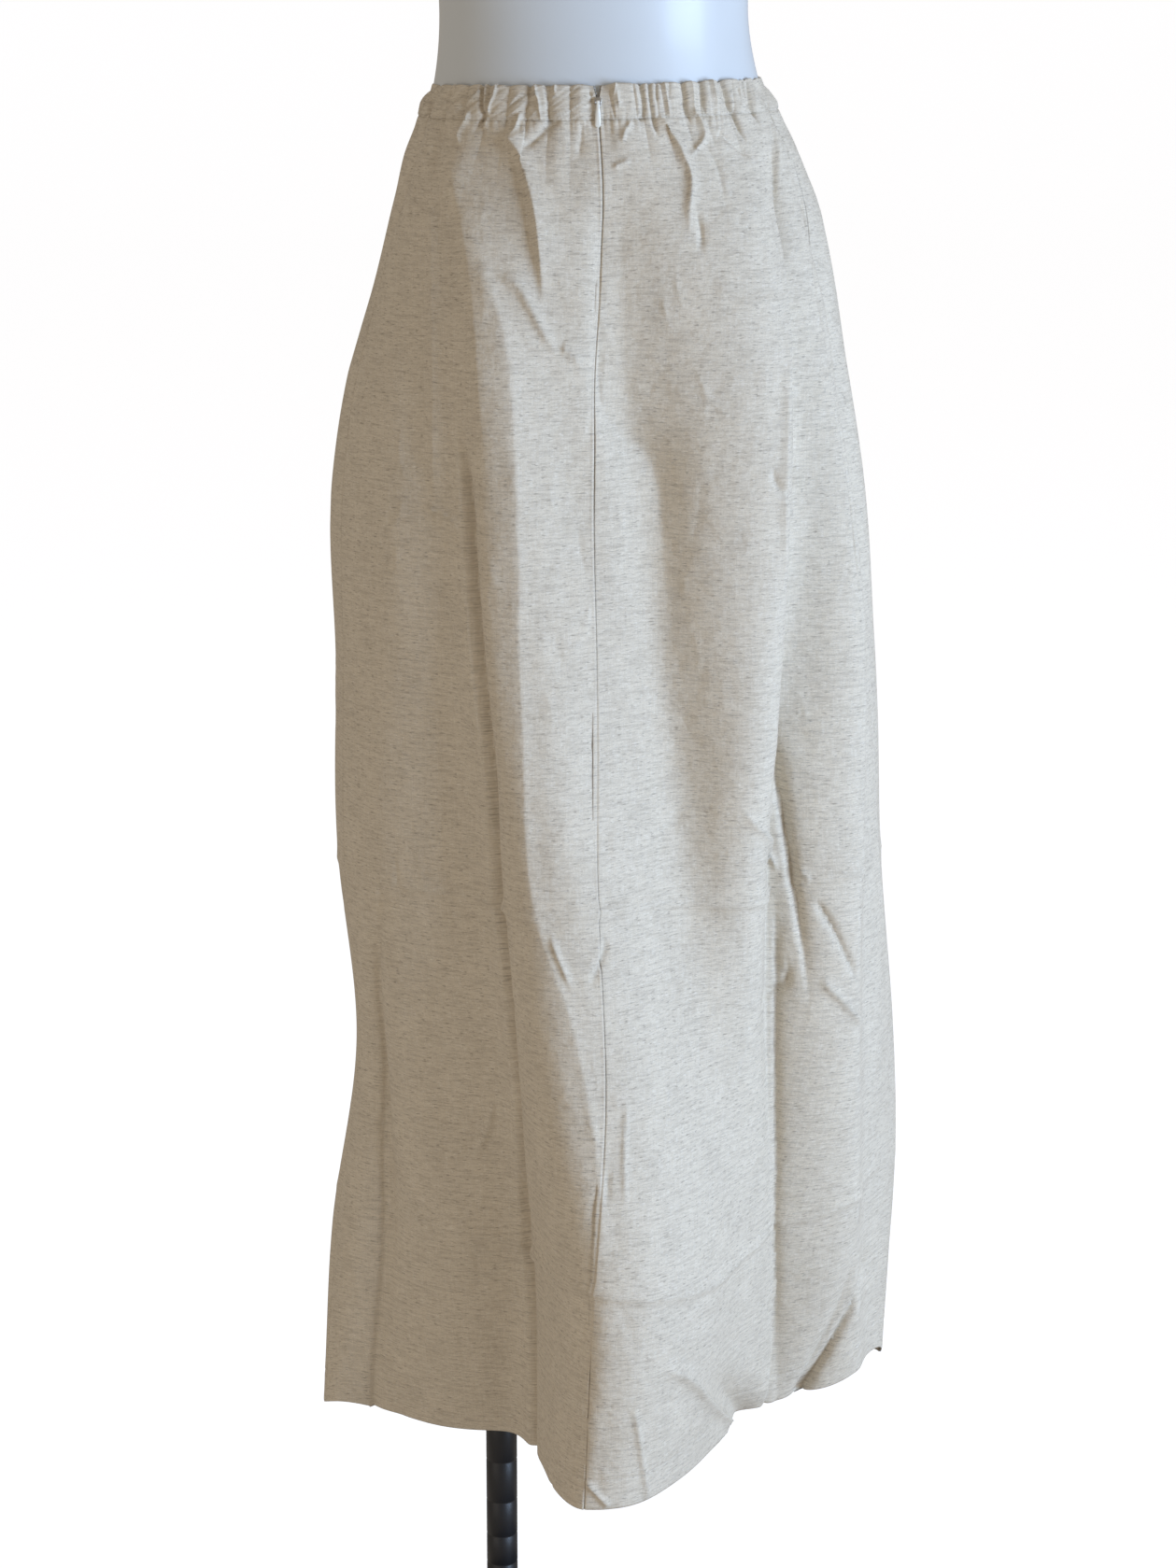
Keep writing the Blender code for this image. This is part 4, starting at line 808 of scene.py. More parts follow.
def roundTheCloth(drops, startAngle, endAngle, origin, count, startSteps, endSteps):
    # Angles of each row's columns: at set distances from the two edges and evenly spread between,
    # with their distance round the cloth from the origin's angle, measured every quarter of a degree
    fine = np.arange(math.floor(startAngle.min()) - 3.0, math.ceil(endAngle.max()) + 3.01, 0.25)
    base = skirtPoint(fine[None], drops[:, None], gathered=False)
    steps = np.linalg.norm(np.diff(base, axis=1), axis=2)
    arcs = np.concatenate([np.zeros((len(drops), 1)), np.cumsum(steps, axis=1)], axis=1)
    arcs -= arcs[:, [int(np.argmin(np.abs(fine - origin)))]]
    start = np.array([np.interp(a, fine, arc) for a, arc in zip(startAngle, arcs)])[:, None]
    end = np.array([np.interp(a, fine, arc) for a, arc in zip(endAngle, arcs)])[:, None]
    first, last = start + startSteps, end - np.flip(endSteps, axis=-1)
    even = np.linspace(0.0, 1.0, count - first.shape[1] - last.shape[1] + 2)[1:-1]
    inner = first[:, -1:] + (last[:, :1] - first[:, -1:]) * even
    across = np.concatenate([first, inner, last], axis=1)
    angle = np.array([np.interp(row, arc, fine) for row, arc in zip(across, arcs)])
    return angle, across, start, end


def seamDip(distance, style):
    # An edge is pushed in by depth at the seam, (1 - d / width) ^ 2 of it at distance d, all of it
    # beyond the seam, with a small ridge beside it
    share = np.clip(1.0 - distance / style["width"], 0.0, 1.0)
    beside = (distance - 1.7 * style["width"]) / (0.7 * style["width"])
    return style["ridge"] * np.exp(-beside ** 2) - style["depth"] * share ** 2


def wallAt(drops):
    # Thicker in the turned hem
    top = skirt["length"] - skirt["hemDepth"]
    return skirt["wall"] * (1.0 + skirt["hemThicker"] * ease(top - skirt["hemStep"], top, drops))


def makePanel(c):
    # The skirt's surface plus creases, puckers, seams and hem along its normal; the inner sheet is
    # the outer one moved in by the cloth's thickness
    drops = panelDrops(*c["rows"])
    first, last = (seamEdges[name] for name in c["edges"])
    angle, across, start, end = roundTheCloth(drops, c["from"](drops), c["to"](drops), c["origin"],
                                              c["columns"], np.array(first["steps"]),
                                              np.array(last["steps"]))
    drop = drops[:, None]
    base = skirtPoint(angle, drop)
    seedShift, hemShift, insideShift = seamEdges["shifts"]
    scattered = scatteredCreases(smallCreases, across.min(), across.max(), c["seed"])
    out = creaseHeight(c["creases"], across, drop) + creaseHeight(scattered, across, drop)
    out = out + slowUnevenness(across + seedShift * c["seed"], drop)
    for meets, distance in zip(c["meets"], (across - start, end - across)):
        out = out * (1.0 - meets * ease(seamEdges["meetingReach"], 0.0, distance))
    casingSeam, hemSeam = skirt["casing"], skirt["length"] - skirt["hemDepth"]
    casingPuckers, hemPuckers = seamEdges["puckers"]
    above, below = seamEdges["tuckEdge"]
    out = out + puckerHeight(across, drop - casingSeam) * casingPuckers
    out = out - seamEdges["tuckDepth"] * (1.0 - ease(casingSeam + above, casingSeam + below, drop))
    out = out + puckerHeight(across + hemShift, drop - hemSeam) * hemPuckers
    depth, width = seamEdges["groove"]
    out = out - depth * np.exp(-((drop - hemSeam) / width) ** 2)
    depth, height = seamEdges["edge"]
    out = out - depth * ease(skirt["length"] - height, skirt["length"], drop)
    closed = 1.0 - seamEdges["closed"] * ease(*seamEdges["closing"], drop)
    out = out + closed * (seamDip(across - start, first) + seamDip(end - across, last))
    outer = base + out[..., None] * gridNormals(base)
    inner = outer - wallAt(drop)[..., None] * gridNormals(outer)
    points, faces = clothShell(outer, inner)
    uv = np.stack([across - c["shift"](start, end), np.broadcast_to(drop, across.shape)], axis=-1)
    uv = np.concatenate([uv.reshape(-1, 2), uv[::2, ::2].reshape(-1, 2) + insideShift])
    piece = addPiece(c["name"], points, faces, linenCloth, "skirt_and_form", uv)
    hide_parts(c["node"])
    print(c["name"], "has", triangleCount(piece), "triangles")
    return {"piece": piece, "outer": outer, "drops": drops, "start": start, "flat": c["flat"],
            "area": c["area"]}


def backSeamAngle(drops):
    return seamAngle(backSeam, drops)


def sideSeamAngle(drops):
    return seamAngle(sideSeam, drops)


panels = {
    "right": {
        "name": "back_panel_right", "node": "skirt_back_right", "from": backSeamAngle, "to": sideSeamAngle,
        "origin": 0.0, "rows": (41, 291, 29), "columns": 221, "edges": ("under", "over"),
        "meets": (0.0, 1.0), "creases": backCreases, "seed": 3, "shift": lambda start, end: start,
        "flat": (0.42, 1.08), "area": 0.360},       # the cut piece's width and height, and its area
    "front": {
        "name": "front_panel", "node": "skirt_front", "from": sideSeamAngle,
        "to": lambda drops: 360.0 - sideSeamAngle(drops),
        "origin": 180.0, "rows": (31, 205, 21), "columns": 311, "edges": ("under", "under"),
        "meets": (1.0, 1.0), "creases": frontCreases, "seed": 5, "shift": lambda start, end: 0.0,
        "flat": (0.80, 1.10), "area": 0.700},
    "left": {
        "name": "back_panel_left", "node": "skirt_back_left", "from": lambda drops: -sideSeamAngle(drops),
        "to": backSeamAngle,
        "origin": 0.0, "rows": (41, 291, 29), "columns": 221, "edges": ("over", "over"),
        "meets": (1.0, 0.0), "creases": backCreases, "seed": 11, "shift": lambda start, end: end,
        "flat": (0.42, 1.08), "area": 0.340},
}
panels = {name: makePanel(panel) for name, panel in panels.items()}


# the elastic casing round the waist
casing = {
    "columns": 1401,
    "outerRows": 22,
    "innerRows": 7,
    "wall": 0.0024,
    "puff": 0.0009,             # how far it swells between its edges
    "topWave": 0.0018,          # how far the gathers lift the top edge
    "topRound": 0.0011,
    "waveLevel": 0.4,           # the share of a gather's height at which it is level
    "waveRelief": 0.004,        # the relief that lifts it as much as a gather does
    "seamDepth": 0.0004,
    "seamWidth": 0.0012,
    "puckers": 1.2,
    "insideGathers": 0.35,
    "deepest": 0.0034,          # the form is close behind
    "sideLean": 0.0062,         # how far its two sides lean in at the top edge
    "leaning": (0.0240, 0.003),         # the drops between which they lean in
    "leanPower": 6,
    # the tucks: how far they stray, where they start and end, how they lean, the share that are
    # ridges, and the shares over which they start and end
    "tuckShape": {"stray": 0.3, "top": (-0.006, 0.006), "bottom": (0.014, 0.034), "lean": 0.0014,
                  "ridges": 0.4, "fade": (0.2, 0.3)},
    "tucks": {"pitch": 0.0068, "height": (0.0005, 0.0016), "spread": (0.0008, 0.0017), "from": 0.0,
              "seed": 21},
    "deepTucks": {"pitch": 0.0150, "height": (0.0012, 0.0026), "spread": (0.0011, 0.0020),
                  "from": 0.21, "seed": 22},    # round the front, from this share of the girth
    "opening": ((0.0, 0.0030), (0.0095, 0.0009), (0.0190, 0.0006), (0.0260, 0.00015)),  # drop, half gap
    "openingSteps": (0.0, 0.0004, 0.0010),
}


def scatteredTucks(c, low, high):
    # Upright tucks in the casing at seeded places between two across values, some crossing its seam
    pick = np.random.default_rng(c["seed"])
    shape = casing["tuckShape"]
    rows = []
    for place in np.arange(low + c["pitch"], high - c["pitch"], c["pitch"]):
        x = place + pick.normal(0.0, shape["stray"] * c["pitch"])
        top = pick.uniform(*shape["top"])
        bottom = pick.uniform(*shape["bottom"])
        lean = pick.normal(0.0, shape["lean"])
        height = pick.uniform(*c["height"]) * (1.0 if pick.random() < shape["ridges"] else -1.0)
        rows.append((height, pick.uniform(*c["spread"]), pick.uniform(*c["spread"]), *shape["fade"],
                     ((top, x), ((top + bottom) / 2, x + lean), (bottom, x + 2.0 * lean))))
    return rows


def makeCasing(c):
    # A profile of drop and depth, up the outside, over the top fold and down the inside, carried
    # round the waist. The outside has the gathers, swell, tucks and seam; the inside is plain
    depth, rows = skirt["casing"], c["outerRows"]
    outside = slice(rows - 1, None, -1)         # from the top edge down
    turn = np.linspace(0.0, math.pi, 7)[1:-1]
    drops = np.concatenate([np.linspace(depth, c["topRound"], rows),
                            c["topRound"] * (1.0 - np.sin(turn)),
                            np.linspace(c["topRound"], depth, c["innerRows"])])
    inward = np.concatenate([np.zeros(rows), c["wall"] * (1.0 - np.cos(turn)) / 2.0,
                             np.full(c["innerRows"], c["wall"])])[:, None]
    halfGap = np.interp(drops, *np.array(c["opening"]).T)[:, None]
    steps = halfGap + np.array(c["openingSteps"])
    angle, across, _, end = roundTheCloth(drops, np.zeros(len(drops)), np.full(len(drops), 360.0), 0.0,
                                          c["columns"], steps, steps)
    drop = drops[:, None]
    turned = np.radians(angle)
    gathered = skirtPoint(angle, drop)
    plain = skirtPoint(angle, drop, gathered=False)
    out = normalized(np.stack([np.sin(turned) / section("halfWidth", drop),
                               -np.cos(turned) / section("back", drop), np.zeros(angle.shape)], axis=-1))
    share = 1.0 - inward / c["wall"]
    outerAcross, outerDrop, girth = across[outside], drop[outside], end[outside]
    tucks = (creaseHeight(backCreases, outerAcross, outerDrop)
             + creaseHeight(backCreases, outerAcross - girth, outerDrop)
             + creaseHeight(frontCreases, outerAcross - girth / 2.0, outerDrop))
    for style in (c["tucks"], c["deepTucks"]):
        low = float(girth.mean()) * style["from"]
        tucks = tucks + creaseHeight(scatteredTucks(style, low, girth.max() - low), outerAcross, outerDrop)
    ridge = np.sum((gathered - plain) * out, axis=-1)[outside]
    leaning = np.sin(turned[outside]) ** c["leanPower"] * ease(*c["leaning"], outerDrop)
    total = ridge + tucks - c["sideLean"] * leaning
    total = np.where(total < 0.0, -c["deepest"] * np.tanh(-total / c["deepest"]), total)
    tucks = total - ridge
    relief = np.concatenate([tucks[::-1], np.repeat(tucks[:1], len(drops) - rows, axis=0)])
    relief = relief + c["puff"] * np.sin(math.pi * np.clip(drop / depth, 0.0, 1.0))
    relief = relief + c["puckers"] * puckerHeight(across, drop - depth)
    relief = relief - c["seamDepth"] * np.exp(-((drop - depth) / c["seamWidth"]) ** 2)
    shown = c["insideGathers"] + (1.0 - c["insideGathers"]) * share[..., None]
    points = plain + (gathered - plain) * shown + (relief * share - inward)[..., None] * out
    lifted = np.linalg.norm(gathered - plain, axis=-1) / gathers["limit"] + relief / c["waveRelief"]
    points[..., 2] += c["topWave"] * (lifted - c["waveLevel"]) * ease(depth, 0.0, drop)
    count, columns = across.shape
    number = np.arange(count * columns).reshape(count, columns)
    bottom = np.stack([number[-1, :-1], number[0, :-1], number[0, 1:], number[-1, 1:]], axis=-1)
    faces = np.concatenate([gridFaces(count, columns), bottom])[:, ::-1].tolist()
    faces.append(number[:, 0].tolist())
    faces.append(number[::-1, -1].tolist())
    run = np.concatenate([[0.0], np.cumsum(np.hypot(np.diff(drops), np.diff(inward[:, 0])))])
    uv = np.stack([across, np.broadcast_to(-run[:, None], across.shape)], axis=-1).reshape(-1, 2)
    piece = addPiece("elastic_casing", points, faces, linenCloth, "skirt_and_form", uv)
    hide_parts("waistband")
    print("casing has", triangleCount(piece), "triangles")
    return {"piece": piece, "outer": points[outside], "drops": drops[outside]}


band = makeCasing(casing)


# the stitches at the hem and at the casing's seam
stitches = {
    "length": 0.0024,
    "pitch": 0.0031,
    "radius": 0.00022,
    "rings": (0.35, 0.9, 1.0, 0.9, 0.35),       # their shares of the radius
    "sides": 6,
    "flat": 0.75,
    "ends": 0.004,              # left free at both ends of a row
    "low": -0.00002,            # from the cloth's surface
    "arch": 0.00016,
}


def makeStitches(name, lines, c):
    # Short arched threads along polylines (points and normals): each a tube of rings whose middle
    # stands out of the cloth and whose ends go into it, low + arch sin(pi u)
    allPoints, allFaces, start = [], [], 0
    sides, count = c["sides"], len(c["rings"])
    for points, normals in lines:
        arc = np.concatenate([[0.0], np.cumsum(np.linalg.norm(np.diff(points, axis=0), axis=1))])
        first = np.arange(c["ends"], arc[-1] - c["ends"], c["pitch"])
        rings = np.linspace(0.0, 1.0, count)
        at = first[:, None] + c["length"] * rings
        centre = np.stack([np.interp(at, arc, points[:, k]) for k in range(3)], axis=-1)
        out = normalized(np.stack([np.interp(at, arc, normals[:, k]) for k in range(3)], axis=-1))
        along = normalized(np.gradient(centre, axis=1))
        side = np.cross(along, out)
        centre = centre + (c["low"] + c["arch"] * np.sin(math.pi * rings))[None, :, None] * out
        turn = np.linspace(0.0, tau, sides, endpoint=False)
        radius = c["radius"] * np.array(c["rings"])
        ring = (np.cos(turn)[:, None] * out[:, :, None, :] * c["flat"]
                + np.sin(turn)[:, None] * side[:, :, None, :])
        tubes = centre[:, :, None, :] + radius[None, :, None, None] * ring
        numbers = start + np.arange(len(first) * count * sides).reshape(len(first), count, sides)
        wrapped = np.concatenate([numbers, numbers[:, :, :1]], axis=2)
        quads = np.stack([wrapped[:, :-1, :-1], wrapped[:, :-1, 1:],
                          wrapped[:, 1:, 1:], wrapped[:, 1:, :-1]], axis=-1)
        allFaces += quads.reshape(-1, 4).tolist()
        allFaces += numbers[:, 0, ::-1].tolist() + numbers[:, -1, :].tolist()
        allPoints.append(tubes.reshape(-1, 3))
        start += numbers.size
    piece = addPiece(name, np.concatenate(allPoints), allFaces, threadCotton, "skirt_and_form")
    print(name, "has", triangleCount(piece), "triangles")
    return piece


def lineAt(panel, drop):
    # The row of a grid nearest to a drop, as points and outward normals
    row = int(np.argmin(np.abs(panel["drops"] - drop)))
    normals = gridNormals(panel["outer"])
    return panel["outer"][row], normals[row]


hemStitches = makeStitches("hem_stitches", [lineAt(panels[name], skirt["length"] - skirt["hemDepth"])
                                            for name in ("right", "front", "left")], stitches)
casingStitches = makeStitches("casing_stitches", [lineAt(band, skirt["casing"] - 0.0014)], stitches)


# the zip's tape, slider, pull tab and teeth
zipParts = {
    "tapeTop": 0.0045,
    "tapeBottom": 0.300,
    "tapeHalfWidth": 0.0110,
    "tapeBehind": (0.0029, 0.0023),     # from the cloth's outside to the tape's, above and below
    "tapeStep": 0.034,          # the drop at which it changes
    "tapeWall": 0.0006,
    "coil": (0.0004, 0.0012),   # the long ridge's height and width
    "teeth": (0.0012, 0.0100, 0.00105),         # their first and last drop, and pitch
    "toothSize": (0.0012, 0.00075, 0.0009),
    "toothBehind": 0.0012,
    "toothOverlap": 0.00055,    # how far they stand into the opening
    "hinge": (0.007083, -0.091917, 1.288179),
    # the slider's parts: width, wall and height, and how far behind the hinge each one is
    "plate": (0.0050, 0.0010, 0.0074),
    "plateBehind": 0.0019,
    "plateTaper": 0.10,
    "neck": (0.0010, 0.0028, 0.0044),
    "neckBehind": 0.0036,
    "ear": (0.0030, 0.0007, 0.0030),
    "earBehind": 0.0005,
    "earAside": 0.00185,
    "pin": (0.0040, 0.0005),            # length and radius
    "knuckle": (0.0024, 0.0012, 0.0007),        # length, radius and bore
    "tabTop": 0.0009,           # below the hinge
    "tabLength": 0.0180,
    "tabHalfWidth": 0.0021,
    "tabNeck": 0.00115,
    "tabWall": 0.0011,
    "tabTilt": 4.0,
}


def makeTape(c):
    # A strip along the inside of the centre-back seam with the coil's long low ridge in its middle
    drops = np.linspace(c["tapeTop"], c["tapeBottom"], 91)
    sides = np.linspace(-c["tapeHalfWidth"], c["tapeHalfWidth"], 23)
    seam = backSeamAngle(drops)
    beside = skirtPoint(seam[:, None] + np.array([[-0.5, 0.5]]), drops[:, None], gathered=False)
    perDegree = np.linalg.norm(beside[:, 1] - beside[:, 0], axis=-1)
    angle = seam[:, None] + sides / perDegree[:, None]
    base = skirtPoint(angle, drops[:, None], gathered=False)
    normals = gridNormals(base)
    seamAcross = np.interp(drops, panels["right"]["drops"], panels["right"]["start"][:, 0])
    moved = creaseHeight(backCreases, seamAcross[:, None] + sides, drops[:, None])
    behind = np.where(drops < c["tapeStep"], *c["tapeBehind"])[:, None] - np.minimum(moved, 0.0)
    height, width = c["coil"]
    coil = height * np.exp(-(sides / width) ** 2)
    outer = base - (behind - coil)[..., None] * normals
    inner = outer - c["tapeWall"] * normals
    points, faces = clothShell(outer, inner)
    uv = np.stack(np.broadcast_arrays(sides[None, :], drops[:, None]), axis=-1).reshape(-1, 2)
    tape = addPiece("zip_tapes", points, faces, tapeCloth, "skirt_and_form",
                    np.concatenate([uv, uv]))
    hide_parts("zip_tape")
    return tape


def superOval(width, height, power, count):
    # |x / w| ^ p + |z / h| ^ p = 1
    turn = np.linspace(0.0, tau, count, endpoint=False)
    c, s = np.cos(turn), np.sin(turn)
    return np.stack([width * np.sign(c) * np.abs(c) ** (2.0 / power),
                     height * np.sign(s) * np.abs(s) ** (2.0 / power)], axis=-1)


def slab(outline, wall, roundness):
    # A flat outline (x, z) given a wall along y with a rounded edge: rings drawn in by
    # roundness (1 - cos) while they move out by sin
    middle = outline.mean(axis=0)
    size = np.abs(outline - middle).max()
    turn = np.linspace(-math.pi / 2, math.pi / 2, 7)
    shrink = 1.0 - roundness * (1.0 - np.cos(turn)) / size
    ring = middle + (outline - middle)[None] * shrink[:, None, None]
    depth = wall / 2.0 * np.sin(turn)
    y = np.repeat(depth[:, None], len(outline), axis=1)
    return np.stack([ring[..., 0], y, ring[..., 1]], axis=-1)


def tubeRings(along, radius, boreRadius, sides):
    # A short tube along x with a bore: its cross profile is a closed loop carried round x
    half = along / 2.0
    edge = (radius - boreRadius) * 0.2
    profile = np.array([(-half, boreRadius), (-half, radius - edge), (-half + edge, radius),
                        (half - edge, radius), (half, radius - edge), (half, boreRadius)])
    turn = np.linspace(0.0, tau, sides, endpoint=False)
    x = np.repeat(profile[:, :1], sides, axis=1)
    return np.stack([x, profile[:, 1:] * np.cos(turn), profile[:, 1:] * np.sin(turn)], axis=-1)


def joined(parts):
    # Closed shapes side by side in one mesh
    points, faces, start = [], [], 0
    for partPoints, partFaces in parts:
        points.append(np.asarray(partPoints).reshape(-1, 3))
        faces += [tuple(start + int(i) for i in face) for face in partFaces]
        start += len(points[-1])
    return np.concatenate(points), faces


def loopTube(rings):
    # A ring-shaped solid: a closed loop carried round
    count, sides = rings.shape[:2]
    number = np.arange(count * sides).reshape(count, sides)
    return rings.reshape(-1, 3), quadsBetween(np.pad(number, ((0, 1), (0, 1)), mode="wrap"))


def hung(points, tilt, c):
    # From the hinge's own frame, upright with +Y into the cloth, to its place on the casing
    lean = hingeLean() + math.radians(tilt)
    turn = np.array([[1.0, 0.0, 0.0], [0.0, math.cos(lean), -math.sin(lean)],
                     [0.0, math.sin(lean), math.cos(lean)]])
    return points @ turn.T + np.array(c["hinge"])


def hingeLean():
    # How far the casing leans back from upright where the slider sits
    near = skirtPoint(np.array([[-0.25, 0.25]]), np.array([[0.0125]]))[0]
    down = skirtPoint(np.array([[0.0]]), np.array([[0.0110], [0.0140]]))[:, 0]
    normal = normalized(np.cross(down[1] - down[0], near[1] - near[0]))
    return math.atan2(-normal[2], -normal[1])


def makeSlider(c):
    # A shield-shaped plate, a neck behind it between the casing's edges, two ears and the pin
    width, wall, height = c["plate"]
    plate = superOval(width / 2, height / 2, 3.0, 28)
    plate[:, 0] *= 1.0 - c["plateTaper"] * np.clip(-plate[:, 1] / height * 2.0, -1.0, 1.0)
    front = slab(plate, wall, 0.0003) + np.array([0.0, c["plateBehind"], 0.0])
    width, wall, height = c["neck"]
    neck = slab(superOval(width / 2, height / 2, 4.0, 16), wall, 0.0001)
    parts = [closedTube(front), closedTube(neck + np.array([0.0, c["neckBehind"], 0.0]))]
    width, wall, height = c["ear"]
    for side in (-1.0, 1.0):
        ear = slab(superOval(width / 2, height / 2, 3.0, 20), wall, 0.0002)
        ear = ear[..., [1, 0, 2]] * np.array([-1.0, 1.0, 1.0])
        parts.append(closedTube((ear + np.array([side * c["earAside"], c["earBehind"], 0.0]))[::-1]))
    length, radius = c["pin"]
    parts.append(closedTube(tubeRings(length, radius, 0.0, 14)[1:-1]))
    points, faces = joined(parts)
    slider = addPiece("slider_body", hung(points, 0.0, c), faces, zipMetal, "skirt_and_form")
    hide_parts("zip_slider")


def makePullTab(c):
    # A teardrop: half width neck to full, along the length, with a round end, hung from a knuckle
    share = np.linspace(0.0, 1.0, 20)
    end = c["tabLength"] - c["tabHalfWidth"]
    z = -c["tabTop"] - (end - c["tabTop"]) * share
    width = c["tabNeck"] + (c["tabHalfWidth"] - c["tabNeck"]) * ease(0.0, 0.85, share)
    turn = np.linspace(0.0, -math.pi, 17)[1:-1]
    right = np.stack([width, z], axis=-1)
    tip = c["tabHalfWidth"] * np.stack([np.cos(turn), np.sin(turn)], axis=-1) - np.array([0.0, end])
    left = np.stack([-width[::-1], z[::-1]], axis=-1)
    outline = np.concatenate([right, tip, left])[::-1]
    body = slab(outline, c["tabWall"], 0.0004)
    knuckle = tubeRings(*c["knuckle"], 24)
    points, faces = joined([closedTube(body), loopTube(knuckle)])
    tab = addPiece("pull_tab_teardrop", hung(points, c["tabTilt"], c), faces, creamEnamel, "pull_tab")
    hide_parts("zip_pull_tab")


def makeTeeth(c):
    # Two rows of small coil teeth down the edges of the opening above the slider
    drops = np.arange(*c["teeth"])
    rows = []
    for side in (-1.0, 1.0):
        gap = np.interp(drops, *np.array(casing["opening"]).T) - c["toothOverlap"]
        degrees = np.degrees(side * gap / section("halfWidth", drops))
        where = skirtPoint(degrees[:, None], drops[:, None], gathered=False)[:, 0]
        normal = normalized(where * np.array([0.0, 1.0, 0.0]))
        rows.append(where - c["toothBehind"] * normal)
    centres = np.concatenate(rows)
    turn = np.linspace(0.0, tau, 10, endpoint=False)
    lift = np.linspace(-math.pi / 2, math.pi / 2, 7)
    ball = np.stack([np.cos(lift)[:, None] * np.sin(turn), -np.cos(lift)[:, None] * np.cos(turn),
                     -np.sin(lift)[:, None] * np.ones(10)], axis=-1) * np.array(c["toothSize"]) / 2.0
    shape, faces = closedTube(ball)
    points, faces = joined([(centre + shape, faces) for centre in centres])
    return addPiece("zip_teeth", points, faces, zipMetal, "skirt_and_form")


zipTapes = makeTape(zipParts)
makeSlider(zipParts)
makePullTab(zipParts)
teeth = makeTeeth(zipParts)
print("zip ready")


# the dress form's body, its ovals in millimetres, with heights from the waist
torso = {
    "sides": 128,
    "rings": 150,
    # height, half width, centre, back depth and front depth
    "rows": (
        (-350, 118, 0, 78, 78), (-343, 133, 1, 90, 90), (-320, 147, 2, 100, 100), (-260, 161, 3, 107, 106),
        (-190, 162, 5, 108, 108), (-120, 150, 8, 103, 108), (-70, 138.5, 9, 95, 101),
        (-32, 128.6, 7.8, 87.6, 93), (0, 119.5, 6.2, 82.5, 87.2), (45, 113.5, 4.2, 77, 79),
        (100, 118, 4, 80, 84), (160, 129, 4, 87, 98), (220, 140, 4, 90, 117), (280, 150, 4, 90, 103),
        (330, 163, 4, 84, 82), (365, 169, 4, 74, 68), (388, 158, 4, 66, 60), (408, 127, 4, 59, 56),
        (428, 86, 4, 53, 54), (452, 61, 4, 50, 54), (500, 54, 4, 51, 53), (512, 50, 4, 47, 49),
    ),
}


def makeTorso(c):
    # Ovals (a sin t, -b cos t) through the table's sections, the ends drawn in to flat caps
    places, *columns = np.array(c["rows"]).T / 1000.0
    even = np.linspace(0.0, len(places) - 1.0, c["rings"])
    heights = np.interp(even, np.arange(len(places)), places)[::-1]
    halfWidth, centreX, back, front = (curveThrough(places, values, heights) for values in columns)
    turn = np.linspace(0.0, tau, c["sides"], endpoint=False)
    depth = np.where(np.cos(turn) > 0.0, back[:, None], front[:, None])
    x = centreX[:, None] + halfWidth[:, None] * np.sin(turn)
    y = -depth * np.cos(turn)
    rings = np.stack([x, y, np.repeat(skirt["waistTop"] + heights[:, None], c["sides"], axis=1)], axis=-1)
    capTop, capLow = ([ring.mean(axis=0) + (ring - ring.mean(axis=0)) * share for share in shares]
                      for ring, shares in ((rings[0], (0.3, 0.92)), (rings[-1], (0.96, 0.3))))
    points, faces = closedTube(np.concatenate([capTop, rings, capLow]))
    piece = addPiece("form_body", points, faces, formShell, "skirt_and_form")
    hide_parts("form_torso")


stand = {
    "poleX": -0.070,
    "sides": 72,
    "plate": ((0.1700, 0.0080), (0.1776, 0.0079), (0.1793, 0.0070), (0.1800, 0.0055), (0.1800, 0.0020),
              (0.1790, 0.0006), (0.1774, 0.0000)),
    "collar": ((0.0128, 0.0420), (0.0128, 0.0423), (0.0164, 0.0423), (0.0170, 0.0417), (0.0170, 0.0196),
               (0.0174, 0.0188), (0.0254, 0.0142), (0.0260, 0.0133), (0.0260, 0.0088), (0.0256, 0.0083)),
    "socket": ((0.0294, 0.9497), (0.0300, 0.9491), (0.0300, 0.9443), (0.0294, 0.9436), (0.0186, 0.9380),
               (0.0180, 0.9372), (0.0180, 0.9103), (0.0174, 0.9097), (0.0128, 0.9097), (0.0128, 0.9100)),
    "pole": (0.0125, 0.9377, 0.0143),      # radius, top and bottom
    "marks": (0.110, 0.135, 0.165, 0.200, 0.240),     # heights of the faint rings on the pole
}


def makeStand(c):
    # Turned profiles: plate, collar, pole and socket
    radius, top, bottom = c["pole"]
    heights = [top, top - 0.0004]
    radii = [radius - 0.0005, radius]
    for mark in sorted(c["marks"], reverse=True):
        heights += [mark + 0.0012, mark + 0.0006, mark - 0.0006, mark - 0.0012]
        radii += [radius, radius - 0.00035, radius - 0.00035, radius]
    heights += [bottom + 0.0004, bottom]
    radii += [radius, radius - 0.0005]
    for name, nodeName, profile, centre in (
            ("stand_plate", "base_plate", c["plate"], (0.0, 0.0)),
            ("stand_collar", "base_collar", c["collar"], (c["poleX"], 0.0)),
            ("stand_pole", "form_pole", tuple(zip(radii, heights)), (c["poleX"], 0.0)),
            ("stand_socket", "form_socket", c["socket"], (c["poleX"], 0.0))):
        points, faces = closedTube(turnedRings(profile, centre, c["sides"]))
        piece = addPiece(name, points, faces, blackPaint, "skirt_and_form")
        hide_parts(nodeName)


makeTorso(torso)
makeStand(stand)
print("dress form and stand ready")


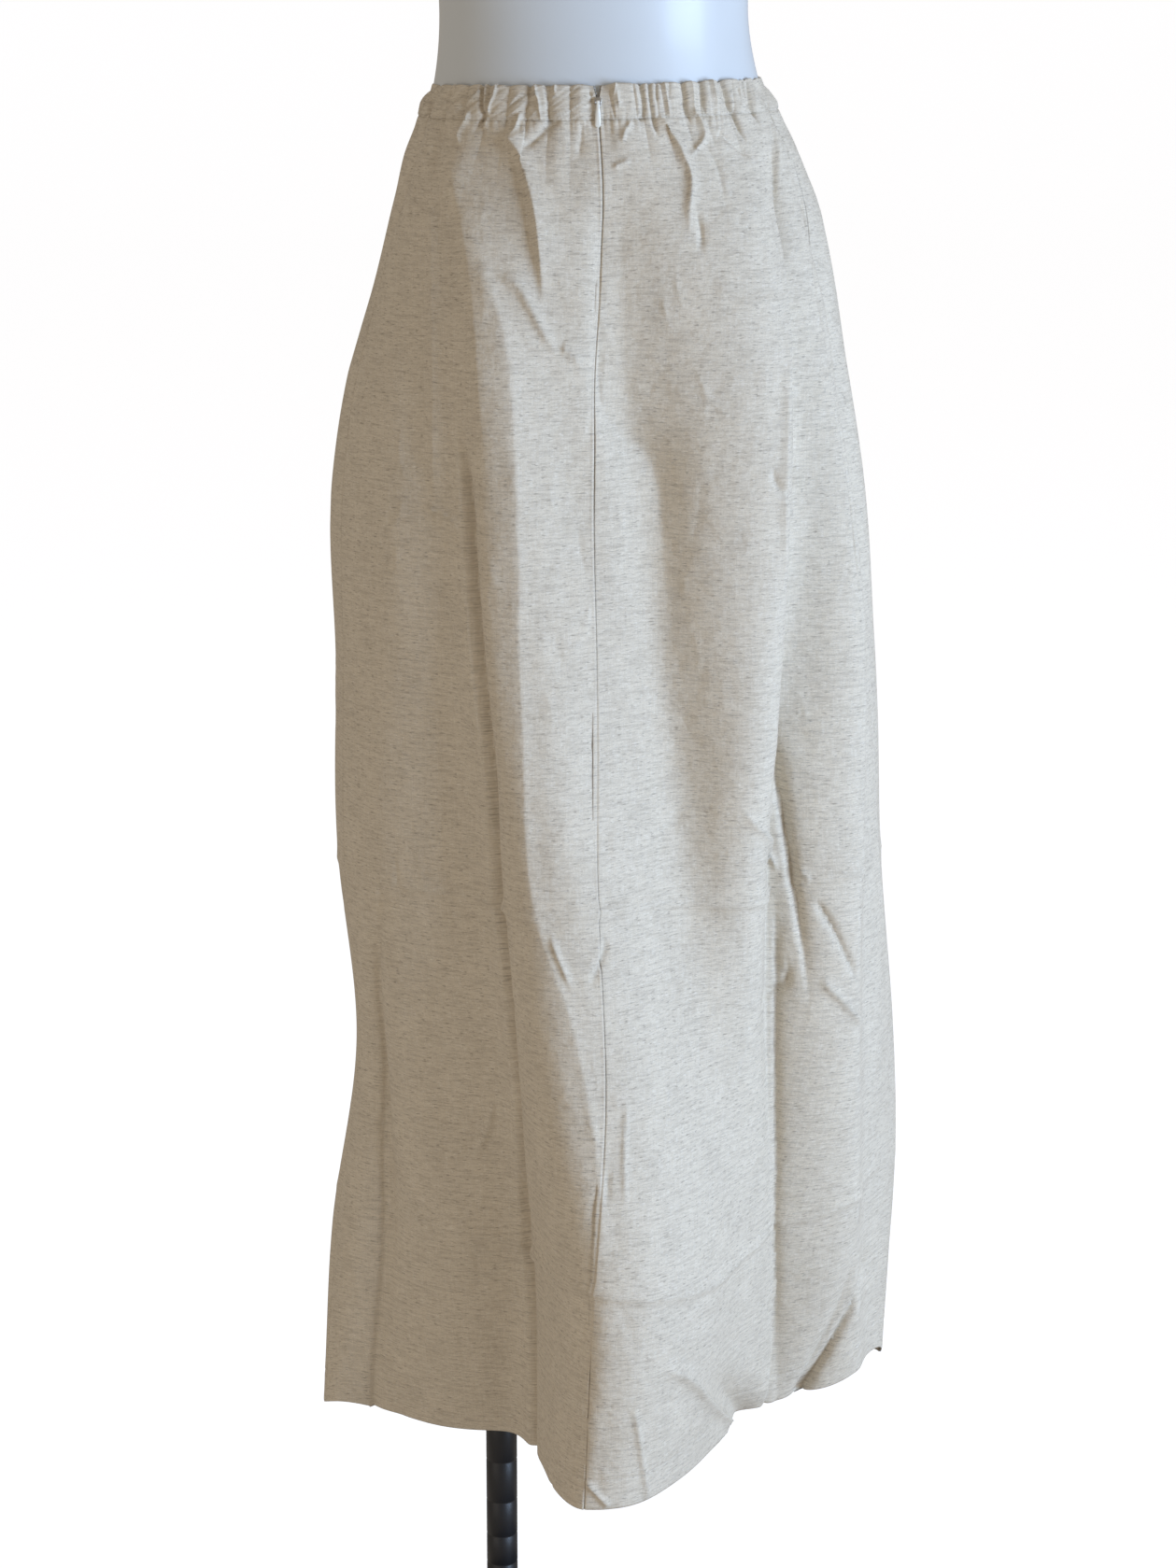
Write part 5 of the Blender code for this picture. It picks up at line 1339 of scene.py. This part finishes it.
# floor and light
studio = {
    "floor": 12.0,              # radius
    "sweep": 4.0,
    "floorColour": (0.80, 0.80, 0.80),
    "floorGlow": 0.74,
    "world": (1.0, 0.90, 0.78),
    "worldStrength": 0.39,
    "key": {"power": 104.0, "colour": (0.54, 0.72, 1.0), "size": (1.4, 1.8),
            "place": (2.35, -1.75, 1.05), "target": (0.0, 0.0, 0.80)},
    "fill": {"power": 7.0, "colour": (1.0, 0.93, 0.84), "size": (2.0, 1.2),
             "place": (-1.9, -1.9, 0.35), "target": (0.0, 0.0, 0.4)},
}


def makeStudio(c):
    # A round pale floor that sweeps up into a wall and over the top, a soft key and a weak fill
    turn = np.linspace(0.0, math.pi / 2, 9)
    outer, wall = c["floor"] + c["sweep"], c["sweep"] + 6.0
    radius = np.concatenate([[0.5, 2.0, 5.0], c["floor"] + c["sweep"] * np.sin(turn), [outer] * 2,
                             outer * np.cos(turn[1:-1])])
    height = np.concatenate([np.zeros(3), c["sweep"] * (1.0 - np.cos(turn)), [c["sweep"] + 3.0, wall],
                             wall + c["sweep"] * np.sin(turn[1:-1])])
    rings = turnedRings(tuple(zip(radius, height)), (0.0, 0.0), 96)
    points, faces = closedTube(rings)
    material, _, shader = newMaterial("paleFloor", c["floorColour"], 0.9)
    shader.inputs["Emission Color"].default_value = (0.92, 0.95, 1.0, 1.0)
    shader.inputs["Emission Strength"].default_value = c["floorGlow"]
    shader.inputs["Specular IOR Level"].default_value = 0.1
    mesh = bpy.data.meshes.new("pale_floor")
    mesh.from_pydata(points.tolist(), [], [tuple(face)[::-1] for face in faces])
    mesh.shade_smooth()
    mesh.materials.append(material)
    floor = bpy.data.objects.new("pale_floor", mesh)
    scene.collection.objects.link(floor)
    floor.visible_diffuse = False
    floor.visible_glossy = False
    floor.visible_shadow = False
    world = bpy.data.worlds.new("studioAir")
    world.use_nodes = True
    air = world.node_tree.nodes["Background"]
    air.inputs["Color"].default_value = (*c["world"], 1.0)
    air.inputs["Strength"].default_value = c["worldStrength"]
    scene.world = world
    for name in ("key", "fill"):
        made = c[name]
        light = bpy.data.lights.new(name + "Light", "AREA")
        light.shape = "RECTANGLE"
        light.size, light.size_y = made["size"]
        light.energy = made["power"]
        light.color = made["colour"]
        lamp = bpy.data.objects.new(name + "Light", light)
        place, target = np.array(made["place"]), np.array(made["target"])
        away = normalized(place - target)
        lamp.location = made["place"]
        lamp.rotation_euler = (math.acos(away[2]), 0.0, math.atan2(away[0], -away[1]))
        scene.collection.objects.link(lamp)
    scene.view_settings.view_transform = "Standard"


makeStudio(studio)
print("floor and light ready")
